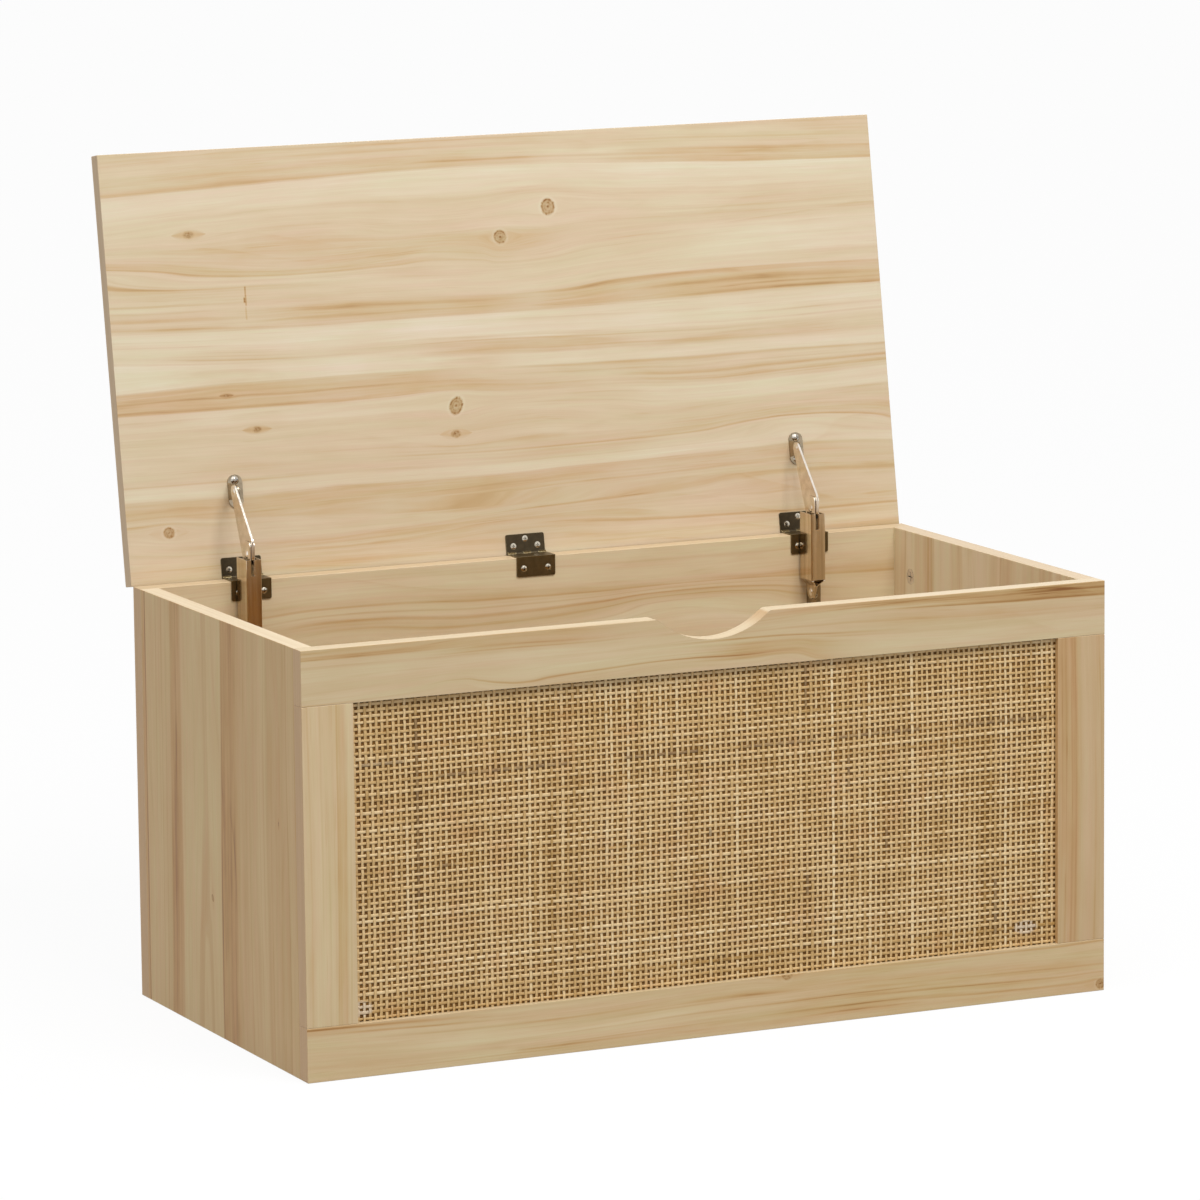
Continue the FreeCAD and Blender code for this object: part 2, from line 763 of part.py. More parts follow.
def base_bracket(x, screw_holes):
    y, z = base_pivot
    low_x = x + base_ear_low
    face_y = inner_y - bracket_sheet
    top = z + base_plate_rise
    low = top - base_plate_length
    corners = rounded(low_x, low_x + bracket_plate_width, low, top, leaf_corner_radius, leaf_corner_radius)
    plate = belt(corners, lambda u, v: Vector(u, inner_y, v)).extrude(Vector(0, -bracket_sheet, 0))
    ear_discs = [
        (y, z, base_eye_radius),
        (inner_y, low + leaf_corner_radius, 0),
        (inner_y, top - leaf_corner_radius, 0),
    ]
    ear = side_plate(ear_discs, low_x, x + base_ear_high)
    return drilled(plate.fuse(ear), [rivet_hole(base_pivot, x)] + screw_holes)


for name, x in stay_places.items():
    stay = name + "_stay_"

    plate_x = x + base_ear_low + bracket_plate_width / 2
    plate_low = base_pivot[1] + base_plate_rise - base_plate_length
    base_spots = []
    for height in (bracket_screw_inset, base_plate_length / 2 + bracket_screw_inset):
        base_spots.append(Vector(plate_x, inner_y - bracket_sheet, plate_low + height))
    base_tools = [dome_screw_hole(spot, y_axis) for spot in base_spots]
    back_holes += base_tools
    save(stay + "base", base_bracket(x, base_tools))
    save(stay + "base_screws", *[dome_screw(spot, y_axis) for spot in base_spots])
    save(stay + "base_rivet", rivet(base_pivot, x - tongue_face, x + base_ear_high, True))

    save(stay + "case", stay_case(x))
    save(stay + "spring", stay_spring(x))
    save(stay + "plunger", plunger(x))
    save(stay + "fork_rivet", rivet(case_pivot, x - prong_high, x + prong_high, True))

    save(stay + "arm", stay_arm(x))
    save(stay + "arm_rivet", rivet(lid_pivot, x - arm_face, x + arm_face, False))

    plate_x = x + ear_low + bracket_plate_width / 2
    screw_reach = bracket_plate_length / 2 - bracket_screw_inset
    lid_spots = []
    for shift in (-screw_reach, screw_reach):
        spot_y = hinge_y - bracket_pivot_reach + shift
        lid_spots.append(Vector(plate_x, spot_y, lid_underside - bracket_sheet))
    lid_tools = [dome_screw_hole(spot, z_axis) for spot in lid_spots]
    lid_holes += lid_tools
    save(stay + "lid_bracket", swung_open(lid_bracket(x, lid_tools)))
    save(stay + "lid_screws", *[swung_open(dome_screw(spot, z_axis)) for spot in lid_spots])
    save(stay + "lid_rivet", rivet_tail(lid_pivot, x + ear_high))

back = board(-half_width, half_width, inner_y, half_depth, 0, body_height)
save("back_panel", bored(back, back_holes))

lid_front = lid_front_setback - half_depth
lid_back = half_depth + lid_back_overhang
lid_top = lid_underside + lid_thickness
lid = board(-half_width, half_width, lid_front, lid_back, lid_underside, lid_top)
save("lid_panel", swung_open(bored(lid, lid_holes)))

print("hinge axis y, z", round(hinge_y, 3), round(hinge_z, 3))
for label, pivot in (("base", base_pivot), ("case", case_pivot), ("lid", lid_pivot)):
    print(label, "pivot y, z", round(pivot[0], 3), round(pivot[1], 3))
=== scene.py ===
import json
import math
import random
import bpy
from mathutils import Matrix, Vector


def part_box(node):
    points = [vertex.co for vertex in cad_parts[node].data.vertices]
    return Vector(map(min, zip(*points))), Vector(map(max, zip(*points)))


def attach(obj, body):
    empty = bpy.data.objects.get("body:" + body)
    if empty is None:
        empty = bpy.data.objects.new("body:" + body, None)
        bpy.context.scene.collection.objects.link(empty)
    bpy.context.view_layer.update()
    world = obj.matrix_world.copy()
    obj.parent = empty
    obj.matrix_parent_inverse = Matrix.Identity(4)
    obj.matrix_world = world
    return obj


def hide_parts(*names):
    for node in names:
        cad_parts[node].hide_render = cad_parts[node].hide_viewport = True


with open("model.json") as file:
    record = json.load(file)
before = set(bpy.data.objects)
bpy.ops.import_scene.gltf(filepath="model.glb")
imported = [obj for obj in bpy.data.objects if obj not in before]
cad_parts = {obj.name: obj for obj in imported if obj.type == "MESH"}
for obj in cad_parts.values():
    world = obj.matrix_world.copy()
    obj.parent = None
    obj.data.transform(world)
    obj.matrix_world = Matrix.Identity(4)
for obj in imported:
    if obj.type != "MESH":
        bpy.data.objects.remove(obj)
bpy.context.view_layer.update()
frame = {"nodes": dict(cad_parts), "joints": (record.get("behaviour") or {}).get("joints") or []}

nodes = frame["nodes"]
mm = 0.001
print("frame loaded:", len(nodes), "CAD nodes")


# small helpers for materials

def tint(red, green, blue):
    # a colour as it is read off a screen, turned into Blender's linear values
    def linear(value):
        share = value / 255
        return share / 12.92 if share <= 0.04045 else ((share + 0.055) / 1.055) ** 2.4
    return (linear(red), linear(green), linear(blue), 1.0)


class Field:
    # a value on its way through a material's nodes; sums and products of it add the nodes for them
    def __init__(self, socket):
        self.socket = socket
        self.tree = socket.id_data

    def __add__(self, other):
        return calc("ADD", self, other)

    def __radd__(self, other):
        return calc("ADD", other, self)

    def __sub__(self, other):
        return calc("SUBTRACT", self, other)

    def __rsub__(self, other):
        return calc("SUBTRACT", other, self)

    def __mul__(self, other):
        return calc("MULTIPLY", self, other)

    def __truediv__(self, other):
        return calc("DIVIDE", self, other)

    def __abs__(self):
        return calc("ABSOLUTE", self)


def feed(socket, value):
    # a colour that isn't a field is given as it is read off a screen
    if isinstance(value, Field):
        value.tree.links.new(value.socket, socket)
    else:
        socket.default_value = tint(*value) if socket.type == "RGBA" else value


def newNode(kind, values, tree=None, **settings):
    # values are numbers or fields for the inputs, which go by name or number; a field brings its tree
    tree = tree or next(value for value in values.values() if isinstance(value, Field)).tree
    node = tree.nodes.new(kind)
    for label, setting in settings.items():
        setattr(node, label, setting)
    for label, value in values.items():
        feed(node.inputs[label], value)
    return node


def fieldOf(kind, values, output=0, tree=None, **settings):
    return Field(newNode(kind, values, tree, **settings).outputs[output])


def calc(operation, *values, clamp=False):
    return fieldOf("ShaderNodeMath", dict(enumerate(values)), operation=operation, use_clamp=clamp)


def centred(value, amount):
    # a noise between 0 and 1 swings evenly to both sides
    return (value - 0.5) * amount


def remap(value, low, high, toLow=0.0, toHigh=1.0, smooth=True):
    return fieldOf("ShaderNodeMapRange", {"Value": value, "From Min": low, "From Max": high, "To Min": toLow,
                                          "To Max": toHigh},
                   interpolation_type="SMOOTHSTEP" if smooth else "LINEAR")


def vectorOf(x, y, z):
    return fieldOf("ShaderNodeCombineXYZ", {0: x, 1: y, 2: z})


def along(vector, axis):
    return fieldOf("ShaderNodeVectorMath", {0: vector, 1: axis}, "Value", operation="DOT_PRODUCT")


def placeOf(tree, output="Object"):
    return fieldOf("ShaderNodeTexCoord", {}, output, tree)


def noiseOf(vector, scale, detail=2.0, roughness=0.5):
    return fieldOf("ShaderNodeTexNoise", {"Vector": vector, "Scale": scale, "Detail": detail,
                                          "Roughness": roughness})


def rampOf(value, stops):
    node = newNode("ShaderNodeValToRGB", {"Fac": value})
    while len(node.color_ramp.elements) < len(stops):
        node.color_ramp.elements.new(0.5)
    for element, (position, colour) in zip(node.color_ramp.elements, stops):
        element.position = position
        element.color = colour
    return Field(node.outputs["Color"])


def blendOf(factor, first, second):
    return fieldOf("ShaderNodeMix", {"Factor": factor, "A": first, "B": second})


def mixColours(factor, first, second, blend="MIX"):
    # the colour sockets follow those for numbers and vectors
    return fieldOf("ShaderNodeMix", {0: factor, 6: first, 7: second}, 2, data_type="RGBA", blend_type=blend)


def bumpInto(shader, height, strength, distance):
    feed(shader.inputs["Normal"],
         fieldOf("ShaderNodeBump", {"Strength": strength, "Distance": distance, "Height": height}))


def newMaterial(name):
    material = bpy.data.materials.new(name)
    material.use_nodes = True
    return material, material.node_tree, material.node_tree.nodes["Principled BSDF"]


def groupOf(name, inputs, outputs):
    tree = bpy.data.node_groups.new(name, "ShaderNodeTree")
    for direction, labels in (("INPUT", inputs), ("OUTPUT", outputs)):
        for label in labels:
            tree.interface.new_socket(label, in_out=direction, socket_type="NodeSocketFloat")
    inside = tree.nodes.new("NodeGroupInput").outputs
    return tree, [Field(inside[label]) for label in inputs], tree.nodes.new("NodeGroupOutput").inputs


def useGroup(group, **values):
    node = newNode("ShaderNodeGroup", values, node_tree=group)
    return {socket.name: Field(socket) for socket in node.outputs}


# small helpers for pieces

def finishWith(part, material):
    part.data.materials.clear()
    part.data.materials.append(material)


def addPiece(name, mesh):
    piece = bpy.data.objects.new(name, mesh)
    bpy.context.scene.collection.objects.link(piece)
    return piece


def smoothMesh(name, vertices, faces):
    mesh = bpy.data.meshes.new(name)
    mesh.from_pydata(vertices, [], faces)
    mesh.polygons.foreach_set("use_smooth", [True] * len(faces))
    return mesh


# the printed wood grain of the boards

printColours = {
    # from the palest to the darkest wood of the print, with the tone at which each stands
    "ramp": ((0.0, (227, 216, 194)), (0.14, (221, 207, 179)), (0.3, (216, 197, 167)), (0.45, (210, 188, 155)),
             (0.6, (205, 177, 137)), (0.75, (194, 160, 114)), (0.88, (168, 127, 75)), (1.0, (136, 88, 36))),
    # the print turns a little rosier and greener from place to place; knots are browner
    "rosy": (255, 249, 250), "mossy": (251, 255, 249), "knotShade": (238, 238, 235),
    # the cut edges: the long ones and the ends
    "edgeBand": (230, 213, 184), "edgeStreak": (226, 214, 196), "endGrain": (211, 187, 152),
}

# what a board's print follows where its own recipe gives nothing else
printDefaults = {
    "wander": 0.007,  # how far the grain lines stray, in metres
    "tone": 0.33, "wideTone": 0.4, "lineTone": 0.38, "fibreTone": 0.18, "cloudTone": 0.34, "dashTone": 0.14,
    "ringTone": 0.22, "rings": 70.0,  # rings in a metre
    "lineStrength": 1.0, "edge": printColours["edgeBand"], "endColourWithShade": printColours["endGrain"],
    "bands": (), "lines": (), "knots": (), "joints": (), "guides": (), "origin": (0, 0, 0), "paintedShade": None,
}

# the layers of the print: waves per metre along and across the grain, place in the noise, detail, roughness
grainLayers = {
    "wander": (3.0, 14.0, 0.0, 3.0, 0.55),
    "wide": (2.0, 34.0, 3.1, 2.0, 0.55), "lines": (5.0, 240.0, 5.7, 3.0, 0.6),
    "fibres": (20.0, 1300.0, 8.3, 2.0, 0.6), "clouds": (9.0, 40.0, 12.9, 3.0, 0.6),
    "dashes": (14.0, 620.0, 31.0, 1.0, 0.5), "ringField": (1.4, 16.0, 17.3, 1.0, 0.5),
    "hueBroad": (3.0, 30.0, 23.0, 2.0, 0.6), "hueFine": (7.0, 110.0, 37.0, 3.0, 0.6),
}

# how the layers work together, the same on every board
# a range gives where something starts and is whole, and sometimes how strong it is at both
printRules = {
    "slant": 0.6,  # how far the grain moves across from the face to the back, as a share of the depth
    "fleckWaves": 330.0,
    "ringBend": 9.0, "ringSharpness": 4.5, "ringEnd": (0.93, 1.0, 1.0, 0.0),
    "ringClouds": (0.35, 0.65, 0.1, 1.0),
    "bandEnds": 0.09,  # how far the ends of the bands lie apart from line to line, in metres
    "bandTone": 0.72, "bandLines": 0.36, "bandClouds": 0.24,
    "dashes": (0.66, 0.8),
    "hueShare": 0.68, "hues": (0.35, 0.65),
    # the cut edges: waves along and across them, where streaks, ends and faces set in
    "edgeWaves": (5.0, 5.0, 420.0), "edgeStreaks": (0.35, 0.75, 0.0, 0.35), "ends": (0.4, 0.7),
    "faces": (0.35, 0.75, 1.0, 0.0),
    "fibres": (0.2, 0.8), "roughness": (0.44, 0.56), "bumpLines": 0.6, "bump": 0.12, "bumpDepth": 0.3,
}


def curveOf(value, points, span):
    # a smooth curve through given points: run in mm gives a lift in metres
    low, high = points[0][0], points[-1][0]
    node = newNode("ShaderNodeFloatCurve", {"Value": remap(value, low * mm, high * mm, smooth=False)})
    curve = node.mapping.curves[0]
    while len(curve.points) < len(points):
        curve.points.new(0.5, 0.5)
    for point, (run, lift) in zip(curve.points, points):
        point.location = ((run - low) / (high - low), 0.5 + lift / span / 2)
        point.handle_type = "AUTO"
    node.mapping.use_clip = False
    node.mapping.update()
    return centred(Field(node.outputs[0]), 2 * span * mm)


def guidedLift(run, rise, guides, span=30.0):
    # each guide is a grain line: the rise at which it lies and how far it is lifted along the board;
    # between two guides the lift goes over evenly
    lift = None
    before = None
    for level, points in guides:
        lifted = curveOf(run, points, span)
        if lift is None:
            lift = lifted
        else:
            lift = blendOf(remap(rise, before * mm, level * mm, smooth=False), lift, lifted)
        before = level
    return lift


# what is the same in every knot; lengths are shares of its radius
knotShape = {
    "stretch": 2.8, "core": 0.8, "push": 1.3,  # how far and how strongly the grain gives way
    "ragged": 0.25, "mottled": 0.9,
    # tone from the pith to the rim, against half the distance
    "rings": ((0.0, 0.92), (0.06, 0.84), (0.12, 0.6), (0.2, 0.64), (0.27, 0.74), (0.32, 0.64), (0.38, 0.68),
              (0.43, 0.82), (0.49, 0.86), (0.56, 0.62)),
    "wingCore": 0.84, "wingReach": 4.0, "wingRise": 1.2, "wingSoft": 1.4, "wingTone": 0.32,
    "rim": 0.95, "softening": 0.6, "rimEnd": 1.3,
    "halo": (0.9, 1.15, 1.2, 1.7), "haloTone": -0.12,
    "thinnest": 0.05,  # half the height of a wing's tip, in millimetres
}


def makeKnotGroup(shape):
    # one knot: how far it pushes the grain apart, its face, its tone, a pale halo and dark wings
    tree, inside, result = groupOf(
        "boardKnot", ("run", "rise", "knotRun", "knotRise", "radius", "oval", "lean", "wings", "fleck"),
        ("push", "face", "tone", "halo", "wing"))
    run, rise, knotRun, knotRise, radius, oval, lean, wings, fleck = inside
    run = run - knotRun
    rise = rise - knotRise
    square = radius * radius
    stretched = run / shape["stretch"]
    spread = stretched * stretched + rise * rise + square * shape["core"]
    feed(result["push"], rise * (square * shape["push"]) / spread)

    # the face is an oval that leans over
    long, short = (run * calc("COSINE", turn) + rise * calc("SINE", turn)
                   for turn in (lean, lean - math.pi / 2))
    long = long / oval
    short = short * oval
    near = calc("SQRT", long * long + short * short) / radius + centred(fleck, shape["ragged"])
    rim = shape["rim"] - wings * shape["softening"]
    feed(result["face"], remap(near, rim, shape["rimEnd"], 1.0, 0.0))

    greys = [(share, (tone, tone, tone, 1)) for share, tone in shape["rings"]]
    tones = blendOf(wings, rampOf(near / 2, greys), shape["wingCore"])
    feed(result["tone"], tones + (0.5 - fleck) * shape["mottled"])

    starts, whole, fades, ends = shape["halo"]
    halo = remap(near, starts, whole) * remap(near, fades, ends, 1.0, 0.0)
    feed(result["halo"], halo * (1.0 - wings))

    # the wings are a lens of darker grain to both sides
    reach = run / (radius * shape["wingReach"])
    lens = calc("SUBTRACT", 1.0, reach * reach, clamp=True)
    height = lens * (radius * shape["wingRise"]) + shape["thinnest"] * mm
    feed(result["wing"], remap(abs(rise) / height, 0.0, shape["wingSoft"], 1.0, 0.0) * wings)
    return tree


knotGroup = makeKnotGroup(knotShape)


def softStep(value, low, high):
    share = min(max((value - low) / (high - low), 0.0), 1.0)
    return share * share * (3 - 2 * share)


# how finely the sheet of bands is read, in millimetres; a band's ends fade over longestFade at most
sheetStep = {"section": 66.0, "table": 100.0, "reading": 0.45, "longestFade": 70.0, "fadeShare": 0.4,
             "softAbove": 1.3}  # how much softer a line is above than below


def toneAt(features, run, level, ends):
    # the bands of the print at one place, each with a hard or soft edge below and above
    tone = 0.0
    for low, high, softLow, softHigh, strength, start, stop in features:
        fade = min(sheetStep["longestFade"], (stop - start) * sheetStep["fadeShare"])
        shape = softStep(level, low - softLow / 2, low + softLow / 2)
        shape *= 1 - softStep(level, high - softHigh / 2, high + softHigh / 2)
        if start > ends[0]:
            shape *= softStep(run, start, start + fade)
        if stop < ends[1]:
            shape *= 1 - softStep(run, stop - fade, stop)
        tone += shape * strength
    return tone


def lineBand(strength, level, width, tone, start, stop):
    # a line is a narrow band
    return (level - width / 2, level + width / 2, width, width * sheetStep["softAbove"], tone * strength,
            start, stop)


def featuresOf(recipe):
    # a band or a line that gives no start and stop runs through the board
    bands = [band if len(band) > 5 else (*band, *recipe["ends"]) for band in recipe["bands"]]
    lines = [line if len(line) > 3 else (*line, *recipe["ends"]) for line in recipe["lines"]]
    return bands + [lineBand(recipe["lineStrength"], *line) for line in lines]


def tableCurve(value, heights):
    # a curve through evenly spaced heights between -1 and 1
    node = newNode("ShaderNodeFloatCurve", {"Value": value})
    points = node.mapping.curves[0].points
    last = len(heights) - 1
    points[0].location = (0.0, 0.5 + heights[0] / 2)
    points[1].location = (1.0, 0.5 + heights[last] / 2)
    for index in range(1, last):
        points.new(index / last, 0.5 + heights[index] / 2)
    node.mapping.update()
    return Field(node.outputs[0])


def sheetTone(run, level, recipe):
    # the board is read in sections along the run; each section holds its bands in tables of levels
    features = featuresOf(recipe)
    start, stop = recipe["ends"]
    bottom, top = recipe["levels"]
    sections = math.ceil((stop - start) / sheetStep["section"]) + 1
    tables = math.ceil((top - bottom) / sheetStep["table"])
    runs = [start + (stop - start) * index / (sections - 1) for index in range(sections)]
    whole = None
    for table in range(tables):
        low = bottom + (top - bottom) * table / tables
        high = bottom + (top - bottom) * (table + 1) / tables
        readings = math.ceil((high - low) / sheetStep["reading"])
        share = remap(level, low * mm, high * mm, smooth=False)
        part = None
        for index, place in enumerate(runs):
            heights = [toneAt(features, place, low + (high - low) * step / readings, (start, stop))
                       for step in range(readings + 1)]
            curve = tableCurve(share, heights)
            if part is None:
                part = curve
            else:
                part = blendOf(remap(run, runs[index - 1] * mm, place * mm, smooth=False), part, curve)
        whole = part if whole is None else blendOf(calc("GREATER_THAN", level, low * mm), whole, part)
    return centred(whole, 2.0)


lathJoint = {"stray": 4.0, "soft": 1.0, "dark": 0.2, "clear": 1.3}  # in millimetres


def lathEnd(run, rise, wander, joint):
    # the end of one printed lath against the next, a thin dark line that wanders a little
    jointRun, low, high, tone = joint
    soft = lathJoint["soft"]
    offset = abs(run - jointRun * mm + centred(wander, lathJoint["stray"] * mm))
    between = (remap(rise, (low - soft) * mm, (low + soft) * mm)
               * remap(rise, (high - soft) * mm, (high + soft) * mm, 1.0, 0.0))
    return between * tone * remap(offset, lathJoint["dark"] * mm, lathJoint["clear"] * mm, 1.0, 0.0)


def woodPrint(name, boardRecipe):
    recipe = {**printDefaults, **boardRecipe}
    rules = printRules
    material, tree, shader = newMaterial(name)
    spot = placeOf(tree)
    origin, grain, across = (Vector(recipe[label]) for label in ("origin", "grain", "across"))
    facing = grain.cross(across)
    run, rise, depth = (along(spot, axis) - origin.dot(axis) for axis in (grain, across, facing))

    def layer(label, height):
        runWaves, heightWaves, shift, detail, roughness = grainLayers[label]
        place = vectorOf(run * runWaves, height * heightWaves, recipe["seed"] + shift)
        return noiseOf(place, 1.0, detail, roughness)

    # lines of equal level are the grain lines: guides, knots and a slow wander bend them
    wander = layer("wander", rise)
    pushes = [centred(wander, recipe["wander"]), depth * rules["slant"]]
    if recipe["guides"]:
        pushes.append(guidedLift(run, rise, recipe["guides"]))
    fleck = noiseOf(spot, rules["fleckWaves"], 2.0, 0.6)
    knots = [useGroup(knotGroup, run=run, rise=rise, knotRun=knotRun * mm, knotRise=knotRise * mm,
                      radius=radius * mm, oval=oval, lean=math.radians(lean), wings=wings, fleck=fleck)
             for knotRun, knotRise, radius, oval, lean, wings in recipe["knots"]]
    pushes += [knot["push"] for knot in knots]
    level = rise - sum(pushes)
    wide, lines, fibres, clouds, dashes, ringField, hueBroad, hueFine = (
        layer(label, level)
        for label in ("wide", "lines", "fibres", "clouds", "dashes", "ringField", "hueBroad", "hueFine"))

    # growth rings: the contours of a stretched noise, each dark on one side
    field = ringField * rules["ringBend"] + level * recipe["rings"]
    ring = calc("FRACT", field)
    ringStrength = fieldOf("ShaderNodeTexWhiteNoise", {"W": calc("FLOOR", field)}, "Value",
                           noise_dimensions="1D")
    lateWood = calc("POWER", ring, rules["ringSharpness"]) * remap(ring, *rules["ringEnd"])
    ringTone = lateWood * ringStrength * remap(clouds, *rules["ringClouds"])
    # the bands' ends lie apart, because the run at which they are read wanders from line to line
    bands = sheetTone(run + centred(lines, rules["bandEnds"]), level, recipe)
    tones = [recipe["tone"], centred(wide, recipe["wideTone"]), centred(lines, recipe["lineTone"]),
             centred(fibres, recipe["fibreTone"]), centred(clouds, recipe["cloudTone"]),
             ringTone * recipe["ringTone"], remap(dashes, *rules["dashes"], 0.0, recipe["dashTone"]),
             bands * (rules["bandTone"] + lines * rules["bandLines"] + clouds * rules["bandClouds"])]
    for knot in knots:
        tones += [knot["halo"] * knotShape["haloTone"], knot["wing"] * knotShape["wingTone"]]
    tones += [lathEnd(run, rise, wander, joint) for joint in recipe["joints"]]
    tone = sum(tones)
    for knot in knots:
        tone = blendOf(knot["face"], tone, knot["tone"])

    colour = rampOf(calc("MULTIPLY", tone, 1.0, clamp=True),
                    [(share, tint(*shown)) for share, shown in printColours["ramp"]])
    hue = remap(blendOf(rules["hueShare"], hueBroad, hueFine), *rules["hues"], smooth=False)
    hue = mixColours(hue, printColours["mossy"], printColours["rosy"])
    colour = mixColours(1.0, colour, hue, "MULTIPLY")
    for knot in knots:
        colour = mixColours(knot["face"], colour, printColours["knotShade"], "MULTIPLY")
    # painted shade: each board's print is tinted by how much light falls on its face
    if recipe["paintedShade"]:
        colour = mixColours(1.0, colour, recipe["paintedShade"], "MULTIPLY")

    # the cut edges carry a plainer band, cream on top and bottom; the ends, turned to the sides, take a
    # darker colour that is partly the print and partly painted shade
    normal = placeOf(tree, "Normal")
    face = abs(along(normal, facing))
    sideways = abs(along(normal, (1, 0, 0)))
    places = [place * waves for place, waves in zip((run, rise, depth), rules["edgeWaves"])]
    streaks = remap(noiseOf(vectorOf(*places), 1.0, 3.0), *rules["edgeStreaks"])
    edge = mixColours(remap(sideways, *rules["ends"]), recipe["edge"], recipe["endColourWithShade"])
    edge = mixColours(streaks, edge, mixColours(1.0, edge, printColours["edgeStreak"], "MULTIPLY"))
    colour = mixColours(remap(face, *rules["faces"]), colour, edge)
    feed(shader.inputs["Base Color"], colour)
    feed(shader.inputs["Roughness"], remap(fibres, *rules["fibres"], *rules["roughness"], smooth=False))
    bumpInto(shader, fibres + lines * rules["bumpLines"], rules["bump"], rules["bumpDepth"] * mm)
    return material


# the boards, each with its own sheet of print

# the open lid carries its sheet of print with it: the place of its hinge, how far it stands open
lidHinge = next(joint for joint in frame["joints"] if joint["name"] == "lid_hinge")
hingeY, hingeZ = lidHinge["pos_m"][1:]
lidTurn = -math.radians(lidHinge["range_deg"][1])
lidAcross = (0.0, -math.cos(lidTurn), -math.sin(lidTurn))
